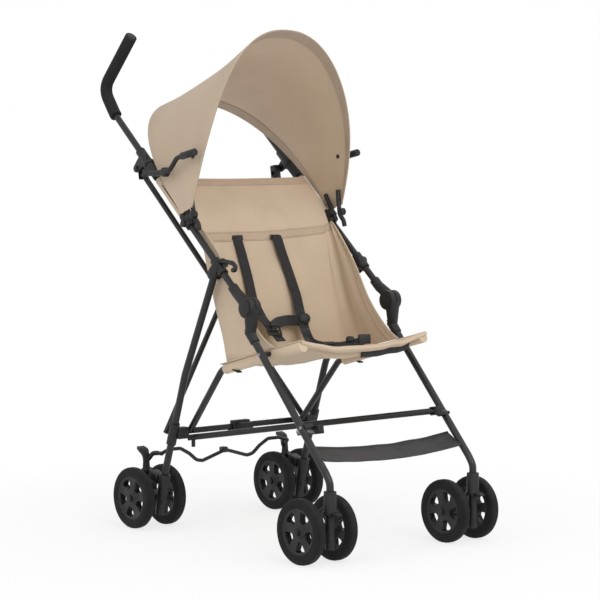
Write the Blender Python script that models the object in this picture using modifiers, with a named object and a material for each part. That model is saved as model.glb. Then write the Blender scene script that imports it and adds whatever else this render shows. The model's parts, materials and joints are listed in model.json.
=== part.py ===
"""Umbrella-fold stroller with twin wheels, a sling seat and a two-bow hood. Metres, +Z up, front towards -Y."""

import math

import bmesh
import bpy
from mathutils import Matrix, Vector

# Driving dimensions
GAP = 0.0003
FRAME_Y = -0.0494
SIDE_X = 0.193
HANDLE_R = 0.007
LEG_R = 0.0075
CROSS_R = 0.006
RAIL_R = 0.007
GRIP_R = 0.013
WHEEL_R = 0.065
WHEEL_HALF = 0.010
PAIR_HALF = 0.041
AXLE_R = 0.004
FRONT_AXLE_Y = -0.275
REAR_AXLE_Y = 0.275
STEM_Y = -0.313
PIN_R = 0.003
WHEEL_STEPS = 22
SPOKES = 5

GRIP_TOP = Vector((0.334, 1.043))
GRIP_ELBOW = Vector((0.436, 0.935))
GRIP_LOW = Vector((0.395, 0.880))
TUBE_END = Vector((-0.017, 0.521))
LEG_PIVOT = Vector((0.047, 0.548))
HINGE = Vector((-0.071, 0.485))
FRONT_LEG_TOP = Vector((-0.0609, 0.4433))
FRONT_LEG_BEND = Vector((-0.300, 0.178))
REAR_LEG_BEND = Vector((0.148, 0.335))
REAR_LEG_END = Vector((0.2245, 0.104))
CROSS_TOP = Vector((0.3056, 0.749))
CROSS_LOW = Vector((0.2165, 0.206))
RAIL_PIVOT = Vector((0.182, 0.212))
RAIL_BEND = Vector((0.064, 0.350))
RAIL_FRONT = Vector((-0.190, 0.415))
STUD = Vector((-0.105, 0.394))
BAR_FRONT = Vector((-0.2335, 0.260))
BAR_REAR = Vector((0.182, 0.190))
PEDAL_PIVOT = Vector((0.284, 0.118))
STAY_PIVOT = Vector((0.250, 0.754))
STAY_ELBOW = Vector((0.180, 0.756))
STAY_FRONT = Vector((0.112, 0.790))
HOOD_PIVOT = Vector((0.137, 0.650))

SIDES = (("r", -1), ("l", 1))
TUBE_DIR = (TUBE_END - GRIP_LOW).normalized()
TUBE_UP = Vector((TUBE_DIR.y, -TUBE_DIR.x))

for old in list(bpy.data.objects):
    bpy.data.objects.remove(old, do_unlink=True)
model = bpy.data.collections.new("stroller")
helpers = bpy.data.collections.new("cutters")
for made in (model, helpers):
    bpy.context.scene.collection.children.link(made)
helpers.hide_render = True
base = bpy.data.objects.new("stroller_frame", None)
model.objects.link(base)


def surface(name, colour, roughness, metallic=0.0):
    made = bpy.data.materials.new(name)
    made.use_nodes = True
    shader = made.node_tree.nodes["Principled BSDF"]
    shader.inputs["Base Color"].default_value = (*colour, 1)
    shader.inputs["Roughness"].default_value = roughness
    shader.inputs["Metallic"].default_value = metallic
    return made


PAINT = surface("black_paint", (0.022, 0.022, 0.024), 0.38)
PLASTIC = surface("black_plastic", (0.018, 0.018, 0.019), 0.5)
FOAM = surface("black_foam", (0.02, 0.02, 0.02), 0.9)
TYRE = surface("tyre_foam", (0.022, 0.022, 0.023), 0.8)
FABRIC = surface("beige_fabric", (0.55, 0.43, 0.31), 0.95)
WEBBING = surface("black_webbing", (0.02, 0.02, 0.021), 0.85)


def moved_to(obj, collection):
    for holder in list(obj.users_collection):
        holder.objects.unlink(obj)
    collection.objects.link(obj)


def helper(obj):
    """Marks a shape that is only added to or cut from another."""
    moved_to(obj, helpers)
    obj.hide_render = True
    obj.display_type = "WIRE"
    obj.parent = base
    return obj


def node(obj, name, pivot, material):
    """Names a finished piece and puts its origin on its joint, with its shape left where it is."""
    shift = Matrix.Translation(-Vector(pivot))
    obj.data.transform(shift @ obj.matrix_basis)
    obj.matrix_basis = Matrix.Translation(pivot)
    obj.name = name
    obj.data.name = name
    obj.data.materials.clear()
    obj.data.materials.append(material)
    moved_to(obj, model)
    obj.parent = base
    return obj


def combined(obj, added=(), cut=()):
    """Joins and cuts shapes with exact booleans, in the order given."""
    for operation, shapes in (("UNION", added), ("DIFFERENCE", cut)):
        for shape in shapes:
            helper(shape)
            step = obj.modifiers.new(operation.lower(), "BOOLEAN")
            step.operation = operation
            step.solver = "EXACT"
            step.object = shape
    return obj


def as_mesh(obj):
    """The evaluated shape as one closed mesh with its faces turned outward."""
    graph = bpy.context.evaluated_depsgraph_get()
    graph.update()
    mesh = bpy.data.meshes.new_from_object(obj.evaluated_get(graph))
    work = bmesh.new()
    work.from_mesh(mesh)
    bmesh.ops.remove_doubles(work, verts=work.verts, dist=1e-6)
    bmesh.ops.recalc_face_normals(work, faces=work.faces)
    work.to_mesh(mesh)
    work.free()
    made = bpy.data.objects.new(obj.name, mesh)
    made.matrix_basis = obj.matrix_basis.copy()
    model.objects.link(made)
    bpy.data.objects.remove(obj, do_unlink=True)
    return made


def bar(start, end, radius, sides=12):
    """A plain round bar between two points."""
    start, end = Vector(start), Vector(end)
    bpy.ops.mesh.primitive_cylinder_add(
        vertices=sides, radius=radius, depth=(end - start).length
    )
    made = bpy.context.object
    made.rotation_mode = "QUATERNION"
    made.rotation_quaternion = (end - start).to_track_quat("Z", "Y")
    made.location = (start + end) / 2
    return made


def cone(start, end, radius_start, radius_end, sides=16):
    start, end = Vector(start), Vector(end)
    bpy.ops.mesh.primitive_cone_add(
        vertices=sides,
        radius1=radius_start,
        radius2=radius_end,
        depth=(end - start).length,
    )
    made = bpy.context.object
    made.rotation_mode = "QUATERNION"
    made.rotation_quaternion = (end - start).to_track_quat("Z", "Y")
    made.location = (start + end) / 2
    return made


def block(centre, size, up=(0, 0, 1), edge=0.0):
    """A box whose width runs along X and whose height runs along the given direction in the YZ plane."""
    bpy.ops.mesh.primitive_cube_add(size=1)
    made = bpy.context.object
    made.data.transform(Matrix.Diagonal((*size, 1)))
    top = Vector(up).normalized()
    across = Vector((1, 0, 0))
    depth = top.cross(across)
    made.matrix_basis = Matrix.Translation(centre) @ Matrix(
        (across, depth, top)
    ).transposed().to_4x4()
    if edge:
        rounding = made.modifiers.new("edges", "BEVEL")
        rounding.width = edge
        rounding.segments = 1
        return as_mesh(made)
    return made


def flat_curve(outline, half_thickness):
    curve = bpy.data.curves.new("outline", "CURVE")
    curve.dimensions = "2D"
    curve.fill_mode = "BOTH"
    curve.extrude = half_thickness
    line = curve.splines.new("POLY")
    line.points.add(len(outline) - 1)
    for point, place in zip(line.points, outline):
        point.co = (*place, 0, 1)
    line.use_cyclic_u = True
    made = bpy.data.objects.new("outline", curve)
    model.objects.link(made)
    return made


def plate(outline, low_x, high_x):
    """A plate across X, from a closed outline given as (y, z) points."""
    made = flat_curve(outline, abs(high_x - low_x) / 2)
    made.matrix_basis = Matrix(
        ((0, 0, 1, (low_x + high_x) / 2), (1, 0, 0, 0), (0, 1, 0, 0), (0, 0, 0, 1))
    )
    return as_mesh(made)


def link_outline(first, first_r, second, second_r, steps=5):
    """The outline round two circles, as for a tapered arm."""
    first, second = Vector(first), Vector(second)
    reach = second - first
    heading = math.atan2(reach.y, reach.x)
    opening = math.acos(max(-1, min(1, (first_r - second_r) / reach.length)))
    points = []
    for i in range(steps + 1):
        angle = heading + opening + (2 * math.pi - 2 * opening) * i / steps
        points.append(first + first_r * Vector((math.cos(angle), math.sin(angle))))
    for i in range(steps + 1):
        angle = heading - opening + 2 * opening * i / steps
        points.append(second + second_r * Vector((math.cos(angle), math.sin(angle))))
    return [tuple(p) for p in points]


def arm(first, first_r, second, second_r, low_x, high_x, steps=5):
    return plate(link_outline(first, first_r, second, second_r, steps), low_x, high_x)


def rounded(points, radius, steps=5):
    """A path whose inner corners are turned into arcs."""
    points = [Vector(p) for p in points]
    path = [points[0]]
    for before, corner, after in zip(points, points[1:], points[2:]):
        to_before = (before - corner).normalized()
        to_after = (after - corner).normalized()
        half = to_before.angle(to_after) / 2
        back = min(
            radius / math.tan(half),
            0.45 * (before - corner).length,
            0.45 * (after - corner).length,
        )
        start = corner + to_before * back
        end = corner + to_after * back
        for i in range(steps + 1):
            t = i / steps
            path.append(
                start * (1 - t) ** 2 + corner * 2 * t * (1 - t) + end * t**2
            )
    path.append(points[-1])
    return path


def tube(points, radius, resolution=3):
    """A round tube along a path, with closed ends."""
    curve = bpy.data.curves.new("tube", "CURVE")
    curve.dimensions = "3D"
    curve.bevel_depth = radius
    curve.bevel_resolution = resolution
    curve.use_fill_caps = True
    line = curve.splines.new("POLY")
    line.points.add(len(points) - 1)
    for point, place in zip(line.points, points):
        point.co = (*place, 1)
    made = bpy.data.objects.new("tube", curve)
    model.objects.link(made)
    return made


def turned(profile, steps, closed=True):
    """A shape turned about Z from (radius, height) points."""
    mesh = bpy.data.meshes.new("profile")
    count = len(profile)
    edges = [(i, i + 1) for i in range(count - 1)]
    if closed:
        edges.append((count - 1, 0))
    mesh.from_pydata([(r, 0, z) for r, z in profile], edges, [])
    made = bpy.data.objects.new("turned", mesh)
    model.objects.link(made)
    spin = made.modifiers.new("spin", "SCREW")
    spin.steps = steps
    spin.render_steps = steps
    spin.use_merge_vertices = True
    spin.merge_threshold = 1e-5
    return as_mesh(made)


def ribbon(points, width, thickness):
    """A flat strap along a path, with its width level."""
    section = bpy.data.curves.new("section", "CURVE")
    section.dimensions = "2D"
    line = section.splines.new("POLY")
    line.points.add(3)
    corners = ((-1, -1), (1, -1), (1, 1), (-1, 1))
    for point, (a, b) in zip(line.points, corners):
        point.co = (a * width / 2, b * thickness / 2, 0, 1)
    line.use_cyclic_u = True
    outline = helper(bpy.data.objects.new("section", section))
    curve = bpy.data.curves.new("strap", "CURVE")
    curve.dimensions = "3D"
    curve.twist_mode = "Z_UP"
    curve.bevel_mode = "OBJECT"
    curve.bevel_object = outline
    curve.use_fill_caps = True
    path = curve.splines.new("POLY")
    path.points.add(len(points) - 1)
    for point, place in zip(path.points, points):
        point.co = (*place, 1)
    made = bpy.data.objects.new("strap", curve)
    model.objects.link(made)
    return as_mesh(made)


def sheet(columns, rows, place, thickness):
    """A cloth panel: a grid whose points are put in place by a formula, then given its thickness."""
    bpy.ops.mesh.primitive_grid_add(x_subdivisions=columns, y_subdivisions=rows, size=2)
    made = bpy.context.object
    for point in made.data.vertices:
        point.co = place(point.co.x, point.co.y)
    solid = made.modifiers.new("thickness", "SOLIDIFY")
    solid.thickness = thickness
    solid.offset = 0
    return as_mesh(made)


def at(side, x, place):
    """A point of one side: its distance from the centre plane and its (y, z) place."""
    return Vector((side * x, place[0], place[1]))


def along_handle(distance, up=0.0):
    """A (y, z) point measured down the handle tube from the grip, and square off it."""
    return GRIP_LOW + TUBE_DIR * distance + TUBE_UP * up


def wheel_mesh():
    """A twin-wheel half: foam tread with a raised crown, rim, five spokes and a bored hub."""
    tread = turned(
        [
            (0.0440, -0.0085),
            (0.0600, -WHEEL_HALF),
            (WHEEL_R, -0.0050),
            (WHEEL_R, 0.0050),
            (0.0600, WHEEL_HALF),
            (0.0440, 0.0085),
        ],
        WHEEL_STEPS,
    )
    hub = turned(
        [
            (AXLE_R + GAP, -0.0095),
            (0.0120, -0.0095),
            (0.0140, -0.0070),
            (0.0140, 0.0070),
            (0.0120, 0.0095),
            (AXLE_R + GAP, 0.0095),
        ],
        10,
    )
    spokes = []
    for i in range(SPOKES):
        angle = 2 * math.pi * i / SPOKES + math.pi / 10
        bpy.ops.mesh.primitive_cube_add(size=1)
        spoke = bpy.context.object
        spoke.data.transform(Matrix.Diagonal((0.0350, 0.0110, 0.0110, 1)))
        spoke.matrix_basis = Matrix.Rotation(angle, 4, "Z") @ Matrix.Translation(
            (0.0290, 0, 0)
        )
        spokes.append(spoke)
    whole = as_mesh(combined(tread, [hub, *spokes]))
    mesh = whole.data
    mesh.transform(Matrix.Rotation(math.pi / 2, 4, "Y"))
    bpy.data.objects.remove(whole)
    return mesh


wheel_shape = wheel_mesh()


def wheels(side, letter, end, axle_y):
    """The outer and inner wheel of one twin pair."""
    for place, offset in (("outer", PAIR_HALF), ("inner", -PAIR_HALF)):
        wheel = bpy.data.objects.new("wheel", wheel_shape.copy())
        model.objects.link(wheel)
        centre = at(side, SIDE_X + offset, (axle_y, WHEEL_R))
        wheel.matrix_basis = Matrix.Translation(centre)
        node(wheel, f"wheel_{end}_{place}_{letter}", centre, TYRE)


def axle(side, axle_y):
    """The cross axle of a twin pair, with a flat head at each end."""
    ends = []
    for turn in (-1, 1):
        middle = at(side, SIDE_X, (axle_y, WHEEL_R))
        head = middle + Vector((turn * (PAIR_HALF + WHEEL_HALF + GAP), 0, 0))
        ends.append(bar(head, head + Vector((turn * 0.002, 0, 0)), 0.0075, 10))
    reach = Vector((PAIR_HALF + WHEEL_HALF + 0.001, 0, 0))
    shaft = bar(middle - reach, middle + reach, AXLE_R, 10)
    collars = bar(
        middle - Vector((0.0305, 0, 0)), middle + Vector((0.0305, 0, 0)), 0.007, 10
    )
    return [shaft, collars, *ends]


def handle(side, letter):
    """The handle tube, its foam grip and the plastic pieces clamped to it."""
    path = rounded([GRIP_TOP, GRIP_ELBOW, GRIP_LOW, TUBE_END], 0.030, 4)
    start = path[0] + (path[1] - path[0]).normalized() * 0.004
    middle_line = [at(side, SIDE_X, p) for p in [start, *path[1:]]]
    pivot = at(side, SIDE_X, GRIP_LOW)
    node(tube(middle_line, HANDLE_R), f"handle_tube_{letter}", pivot, PAINT)

    covered = [at(side, SIDE_X, p) for p in path[:-1]]
    covered.append(at(side, SIDE_X, along_handle(0.006)))
    grip = as_mesh(tube(covered, GRIP_R, 3))
    inner = [at(side, SIDE_X, path[0] + (path[1] - path[0]).normalized() * 0.0036)]
    inner += [at(side, SIDE_X, p) for p in path[1:-1]]
    inner.append(at(side, SIDE_X, along_handle(0.020)))
    bore = as_mesh(tube(inner, HANDLE_R + 0.0005, 4))
    node(combined(grip, (), [bore]), f"grip_{letter}", pivot, FOAM)

    bore = bar(
        at(side, SIDE_X, along_handle(0.08)),
        at(side, SIDE_X, along_handle(0.24)),
        HANDLE_R + GAP,
        12,
    )
    collar = bar(
        at(side, SIDE_X, along_handle(0.122)),
        at(side, SIDE_X, along_handle(0.206)),
        0.0105,
        16,
    )
    flange = bar(
        at(side, SIDE_X, along_handle(0.160)),
        at(side, SIDE_X, along_handle(0.168)),
        0.0130,
        16,
    )
    cap_pin = knuckle_pin()
    bracket = arm(
        along_handle(0.148),
        0.014,
        cap_pin,
        0.0085,
        side * (SIDE_X + 0.0028),
        side * (SIDE_X + 0.0085),
    )
    eye = bar(at(side, 0.185, cap_pin), at(side, 0.215, cap_pin), PIN_R + GAP, 8)
    stud = bar(at(side, SIDE_X + 0.004, STAY_PIVOT), at(side, 0.2150, STAY_PIVOT), 0.006)
    stud_pin = bar(at(side, 0.2140, STAY_PIVOT), at(side, 0.2200, STAY_PIVOT), PIN_R, 8)
    node(
        combined(collar, [flange, bracket, stud, stud_pin], [bore, eye]),
        f"handle_collar_{letter}",
        at(side, SIDE_X, STAY_PIVOT),
        PLASTIC,
    )


def cross_frame():
    """Directions of the plane of the two rear cross tubes: down it and square to it."""
    down = Vector((0, *(CROSS_LOW - CROSS_TOP))).normalized()
    normal = Vector((0, down.z, -down.y))
    return down, normal


def knuckle_pin():
    down, _ = cross_frame()
    return CROSS_TOP - 0.014 * Vector((down.y, down.z))


def cross_member(side, letter):
    """One rear cross tube and the two-way knuckle that carries its top."""
    down, normal = cross_frame()
    shift = -side * normal * (CROSS_R + GAP)
    top = at(side, 0.1875, CROSS_TOP) + shift
    low = at(-side, 0.1880, CROSS_LOW) + shift
    reach = (low - top).normalized()
    body = tube([top - reach * 0.0045, top + reach * 0.02, low - reach * 0.02, low], CROSS_R)
    body = as_mesh(body)
    hole = bar(top - normal * 0.02, top + normal * 0.02, PIN_R + GAP, 8)
    node(combined(body, (), [hole]), f"cross_tube_{letter}", top, PAINT)

    centre = top - down * 0.006
    cap = block(centre, (0.0160, 0.0180, 0.0310), -down, 0.0015)
    slot = block(top + down * 0.018, (0.040, 2 * CROSS_R + 2 * GAP, 0.0520), -down)
    pin = bar(top - normal * 0.0085, top + normal * 0.0085, PIN_R, 8)
    hinge = knuckle_pin()
    peg = bar(
        at(side, 0.1900, hinge), at(side, SIDE_X + 0.0100, hinge), PIN_R, 8
    )
    head = bar(
        at(side, SIDE_X + 0.0088, hinge), at(side, SIDE_X + 0.0108, hinge), 0.006, 12
    )
    trimmed = as_mesh(combined(cap, (), [slot]))
    node(
        combined(trimmed, [pin, peg, head]),
        f"cross_cap_{letter}",
        at(side, SIDE_X, hinge),
        PLASTIC,
    )


def pivot_bracket(side, letter):
    """The clamp on the handle tube that carries the rear leg, with the carry hook on one side."""
    low = along_handle(0.462)
    high = along_handle(0.502)
    sleeve = bar(at(side, SIDE_X, low), at(side, SIDE_X, high), 0.0105)
    lobe = arm(
        along_handle(0.4805),
        0.0100,
        LEG_PIVOT,
        0.0110,
        side * (SIDE_X - 0.0110),
        side * (SIDE_X + 0.0110),
    )
    room = bar(
        at(side, SIDE_X - LEG_R - GAP, LEG_PIVOT),
        at(side, SIDE_X + LEG_R + GAP, LEG_PIVOT),
        0.0123,
        16,
    )
    bore = bar(
        at(side, SIDE_X, along_handle(0.44)),
        at(side, SIDE_X, along_handle(0.52)),
        HANDLE_R + GAP,
        12,
    )
    pin = bar(
        at(side, SIDE_X - 0.0125, LEG_PIVOT), at(side, SIDE_X + 0.0125, LEG_PIVOT), PIN_R, 8
    )
    body = as_mesh(combined(sleeve, [lobe], [room, bore]))
    added = [pin]
    if side < 0:
        start = along_handle(0.478, 0.0095)
        hook = [
            at(side, SIDE_X, start),
            at(side, SIDE_X, start + TUBE_UP * 0.010),
            at(side, SIDE_X, start + TUBE_UP * 0.014 + TUBE_DIR * 0.010),
            at(side, SIDE_X, start + TUBE_UP * 0.009 + TUBE_DIR * 0.022),
        ]
        added.append(as_mesh(tube(rounded(hook, 0.006, 2), 0.003, 1)))
    node(
        combined(body, added), f"rear_pivot_bracket_{letter}", at(side, SIDE_X, LEG_PIVOT), PLASTIC
    )


def front_hinge(side, letter):
    """The folding joint between the handle tube and the front leg."""
    x_low, x_high = SIDE_X - 0.0105, SIDE_X + 0.0105
    socket = bar(
        at(side, SIDE_X, along_handle(0.526)), at(side, SIDE_X, along_handle(0.568)), 0.0105
    )
    cheeks = arm(
        along_handle(0.572), 0.0110, HINGE, 0.0150, side * x_low, side * x_high, 6
    )
    room = bar(
        at(side, SIDE_X - 0.0045, HINGE), at(side, SIDE_X + 0.0045, HINGE), 0.0160, 14
    )
    under = arm(
        HINGE, 0.0160, (-0.050, 0.440), 0.016, side * (SIDE_X - 0.0045), side * (SIDE_X + 0.0045)
    )
    bore = bar(
        at(side, SIDE_X, along_handle(0.50)),
        at(side, SIDE_X, along_handle(0.5465 + 0.0005)),
        HANDLE_R + GAP,
        12,
    )
    body = as_mesh(combined(socket, [cheeks], [room, under, bore]))
    pin = bar(at(side, SIDE_X - 0.0115, HINGE), at(side, SIDE_X + 0.0115, HINGE), 0.0045, 12)
    dome = cone(
        at(side, SIDE_X + 0.0100, HINGE), at(side, SIDE_X + 0.0150, HINGE), 0.0190, 0.0150, 16
    )
    node(
        combined(body, [pin, dome]), f"hinge_upper_{letter}", at(side, SIDE_X, HINGE), PLASTIC
    )

    direction = (FRONT_LEG_BEND - FRONT_LEG_TOP).normalized()
    tongue = arm(
        HINGE,
        0.0150,
        FRONT_LEG_TOP + direction * 0.004,
        0.0100,
        side * (SIDE_X - 0.0040),
        side * (SIDE_X + 0.0040),
        7,
    )
    socket = bar(
        at(side, SIDE_X, FRONT_LEG_TOP - direction * 0.008),
        at(side, SIDE_X, FRONT_LEG_TOP + direction * 0.036),
        0.0105,
    )
    eye = bar(at(side, SIDE_X - 0.01, HINGE), at(side, SIDE_X + 0.01, HINGE), 0.0048, 12)
    bore = bar(
        at(side, SIDE_X, FRONT_LEG_TOP - direction * 0.0003),
        at(side, SIDE_X, FRONT_LEG_TOP + direction * 0.060),
        LEG_R + GAP,
        12,
    )
    node(
        combined(tongue, [socket], [eye, bore]),
        f"hinge_lower_{letter}",
        at(side, SIDE_X, HINGE),
        PLASTIC,
    )


def front_leg(side, letter):
    """The front leg with the studs for the seat rail and the lower bar."""
    path = [FRONT_LEG_TOP, FRONT_LEG_BEND, (STEM_Y, 0.160), (STEM_Y, 0.1253)]
    path = rounded(path, 0.040, 4)
    leg = as_mesh(tube([at(side, SIDE_X, p) for p in path], LEG_R))
    stud = bar(at(side, SIDE_X, STUD), at(side, 0.1675, STUD), 0.0055, 12)
    boss = bar(at(side, SIDE_X, BAR_FRONT), at(side, 0.1710, BAR_FRONT), 0.0065, 12)
    eye = bar(at(side, 0.1850, BAR_FRONT), at(side, 0.1600, BAR_FRONT), PIN_R + GAP, 8)
    node(
        combined(leg, [stud, boss], [eye]), f"front_leg_{letter}", at(side, SIDE_X, HINGE), PAINT
    )


def caster(side, letter):
    """The swivelling front wheel unit: housing, lock tab and trailing fork."""
    centre = at(side, SIDE_X, (STEM_Y, 0.0))
    up = Vector((0, 0, 1))
    body = bar(centre + up * 0.1000, centre + up * 0.1440, 0.0125, 16)
    collar = bar(centre + up * 0.0985, centre + up * 0.1060, 0.0150, 16)
    bore = bar(centre + up * 0.1250, centre + up * 0.1600, LEG_R + GAP, 12)
    socket = bar(centre + up * 0.0900, centre + up * 0.1180, 0.0045 + GAP, 12)
    ears = []
    for turn in (-1, 1):
        ear = centre + Vector((turn * 0.0082, -0.0145, 0.1015))
        ears.append(block(ear, (0.0024, 0.0130, 0.0060)))
    tab_axis = centre + Vector((0, -0.0180, 0.1015))
    across = Vector((0.02, 0, 0))
    eye = bar(tab_axis - across, tab_axis + across, 0.0015, 12)
    room = block(tab_axis + Vector((0, 0.0008, 0)), (0.0140, 0.0074, 0.012))
    node(
        combined(body, [collar, *ears], [room, bore, socket, eye]),
        f"caster_housing_{letter}",
        centre + up * 0.1250,
        PLASTIC,
    )

    tab = block(tab_axis + Vector((0, -0.0050, -0.0004)), (0.0130, 0.0110, 0.0036), up, 0.0008)
    barrel = bar(
        tab_axis - Vector((0.0065, 0, 0)), tab_axis + Vector((0.0065, 0, 0)), 0.0026, 12
    )
    peg = bar(
        tab_axis - Vector((0.0094, 0, 0)), tab_axis + Vector((0.0094, 0, 0)), 0.0012, 12
    )
    node(combined(tab, [barrel, peg]), f"swivel_lock_tab_{letter}", tab_axis, PLASTIC)

    stem = bar(centre + up * 0.0310, centre + up * 0.0980, 0.0095, 14)
    spigot = bar(centre + up * 0.0900, centre + up * 0.1150, 0.0045, 12)
    web = arm(
        (STEM_Y + 0.002, 0.060),
        0.0100,
        (FRONT_AXLE_Y, WHEEL_R),
        0.0100,
        side * SIDE_X - 0.0060,
        side * SIDE_X + 0.0060,
    )
    window = bar(centre + Vector((-0.02, 0, 0.0740)), centre + Vector((0.02, 0, 0.0740)), 0.0030, 12)
    node(
        combined(stem, [spigot, web, *axle(side, FRONT_AXLE_Y)], [window]),
        f"caster_fork_{letter}",
        centre + up * WHEEL_R,
        PLASTIC,
    )
    wheels(side, letter, "front", FRONT_AXLE_Y)


def rear_leg(side, letter):
    """The rear leg, its wheel housing with the brake block, and the bracket of the rear joints."""
    path = rounded([LEG_PIVOT, REAR_LEG_BEND, REAR_LEG_END], 0.12, 4)
    leg = as_mesh(tube([at(side, SIDE_X, p) for p in path], LEG_R))
    eye = bar(at(side, 0.18, LEG_PIVOT), at(side, 0.21, LEG_PIVOT), PIN_R + GAP, 8)
    round_top = bar(
        at(side, SIDE_X - 0.0062, LEG_PIVOT), at(side, SIDE_X + 0.0062, LEG_PIVOT), 0.0070, 14
    )
    node(
        combined(leg, [round_top], [eye]), f"rear_leg_{letter}", at(side, SIDE_X, LEG_PIVOT), PAINT
    )

    down = (REAR_LEG_END - REAR_LEG_BEND).normalized()
    top = REAR_LEG_END - down * 0.014
    foot = Vector((0.2390, 0.0300))
    shell = cone(at(side, SIDE_X, top), at(side, SIDE_X, foot), 0.0125, 0.0095, 14)
    bore = bar(
        at(side, SIDE_X, REAR_LEG_END + down * 0.0003),
        at(side, SIDE_X, REAR_LEG_END - down * 0.06),
        LEG_R + GAP,
        12,
    )
    web = arm(
        (0.2330, 0.060),
        0.0120,
        (REAR_AXLE_Y, WHEEL_R),
        0.0105,
        side * SIDE_X - 0.0060,
        side * SIDE_X + 0.0060,
    )
    brake_block = block(at(side, SIDE_X, (0.2500, 0.1100)), (0.0240, 0.0300, 0.0200), (0, -0.3, 1), 0.002)
    lug = arm(
        (0.2500, 0.1060), 0.0090, PEDAL_PIVOT, 0.0070, side * SIDE_X - 0.0050, side * SIDE_X + 0.0050
    )
    pin_eye = bar(at(side, 0.17, PEDAL_PIVOT), at(side, 0.22, PEDAL_PIVOT), PIN_R + GAP, 8)
    grooves = []
    for i in range(3):
        place = (0.2440 + 0.0065 * i, 0.1213 + 0.0020 * i)
        grooves.append(block(at(side, SIDE_X, place), (0.05, 0.0018, 0.0050), (0, -0.3, 1)))
    node(
        combined(
            shell, [web, brake_block, lug, *axle(side, REAR_AXLE_Y)], [bore, pin_eye, *grooves]
        ),
        f"rear_housing_{letter}",
        at(side, SIDE_X, (REAR_AXLE_Y, WHEEL_R)),
        PLASTIC,
    )
    wheels(side, letter, "rear", REAR_AXLE_Y)

    mid = REAR_LEG_BEND + down * 0.1330
    sleeve = bar(
        at(side, SIDE_X, mid - down * 0.022), at(side, SIDE_X, mid + down * 0.026), 0.0105
    )
    shelf = block(at(side, 0.1760, (0.1840, 0.2080)), (0.0270, 0.0200, 0.0240), (0, 0, 1), 0.001)
    flange = block(at(side, 0.1540, (0.1820, 0.1985)), (0.0270, 0.0120, 0.0050))
    post = bar(at(side, 0.1460, (0.182, 0.2005)), at(side, 0.1460, (0.182, 0.1760)), 0.0042, 12)
    rail_pin = bar(at(side, 0.1640, RAIL_PIVOT), at(side, 0.1450, RAIL_PIVOT), PIN_R, 8)
    hinge_lug = block(at(side, 0.1740, (0.1975, 0.2080)), (0.0140, 0.0100, 0.0160))
    bar_pin = bar(at(side, 0.1740, (0.2000, 0.2070)), at(side, 0.1740, (0.2200, 0.2070)), PIN_R, 8)
    bore = bar(
        at(side, SIDE_X, mid - down * 0.05),
        at(side, SIDE_X, mid + down * 0.05),
        LEG_R + GAP,
        12,
    )
    node(
        combined(sleeve, [shelf, flange, post, rail_pin, hinge_lug, bar_pin], [bore]),
        f"rear_bracket_{letter}",
        at(side, SIDE_X, mid),
        PLASTIC,
    )


def brake(side, letter):
    """The brake pedal and its half of the wavy link rod."""
    toe = Vector((0.3000, 0.1620))
    left, right = side * SIDE_X - 0.0110, side * SIDE_X + 0.0110
    lever = arm(PEDAL_PIVOT, 0.0075, toe, 0.0045, left, right)
    room = block(at(side, SIDE_X, PEDAL_PIVOT), (0.0100 + 2 * GAP, 0.03, 0.024))
    pin = bar(Vector((left, *PEDAL_PIVOT)), Vector((right, *PEDAL_PIVOT)), PIN_R, 8)
    tread = block(at(side, SIDE_X + 0.004, toe), (0.0360, 0.0240, 0.0050), (0, 0.35, 1), 0.001)
    body = as_mesh(combined(lever, [tread], [room]))
    socket_y = 0.2620
    ear = block(at(side, 0.1775, (0.2725, 0.1560)), (0.0150, 0.0450, 0.0100))
    notch = block(at(side, 0.1738, (0.2603, 0.1560)), (0.0114, 0.0126, 0.02))
    ear = as_mesh(combined(ear, (), [notch]))
    rod_pin = bar(at(side, 0.1740, (0.2530, 0.1560)), at(side, 0.1740, (0.2680, 0.1560)), 0.0012, 12)
    node(
        combined(body, [pin, ear, rod_pin]), f"brake_pedal_{letter}", at(side, SIDE_X, PEDAL_PIVOT), PLASTIC
    )

    wave = [
        (0.1740, 0.1560),
        (0.1560, 0.1630),
        (0.1240, 0.1630),
        (0.1000, 0.1500),
        (0.0800, 0.1340),
        (0.0640, 0.1310),
        (0.0050, 0.1490),
    ]
    rod_y = 0.2574 if side < 0 else 0.2630
    path = [Vector((side * x, rod_y, z)) for x, z in wave]
    wire = as_mesh(tube(rounded(path, 0.02, 2), 0.0025, 1))
    eye = bar(at(side, 0.1740, (0.2546, 0.1560)), at(side, 0.1740, (0.2660, 0.1560)), 0.0045, 12)
    hole = bar(at(side, 0.1740, (0.24, 0.1560)), at(side, 0.1740, (0.28, 0.1560)), 0.0015, 12)
    added = [eye]
    if side < 0:
        added.append(block((-0.0095, 0.2562, 0.1475), (0.0130, 0.0080, 0.0090), (0, 0, 1), 0.001))
    node(
        combined(wire, added, [hole]), f"brake_rod_{letter}", at(side, 0.1740, (socket_y, 0.1560)), PAINT
    )


def seat_rail(side, letter):
    """The bent rail under the seat edge, with its front end cap."""
    path = [at(side, 0.154, RAIL_PIVOT), at(side, 0.160, RAIL_BEND), at(side, 0.160, RAIL_FRONT)]
    rail = as_mesh(tube(rounded(path, 0.035, 5), RAIL_R))
    ball = bar(at(side, 0.1482, RAIL_PIVOT), at(side, 0.1598, RAIL_PIVOT), 0.0065, 14)
    hole = bar(at(side, 0.14, RAIL_PIVOT), at(side, 0.17, RAIL_PIVOT), PIN_R + GAP, 8)
    way = (RAIL_FRONT - RAIL_BEND).normalized()
    cap = bar(
        at(side, 0.160, RAIL_FRONT - way * 0.014), at(side, 0.160, RAIL_FRONT + way * 0.004), 0.0080, 12
    )
    node(
        combined(rail, [ball, cap], [hole]), f"seat_rail_{letter}", at(side, 0.154, RAIL_PIVOT), PAINT
    )


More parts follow.
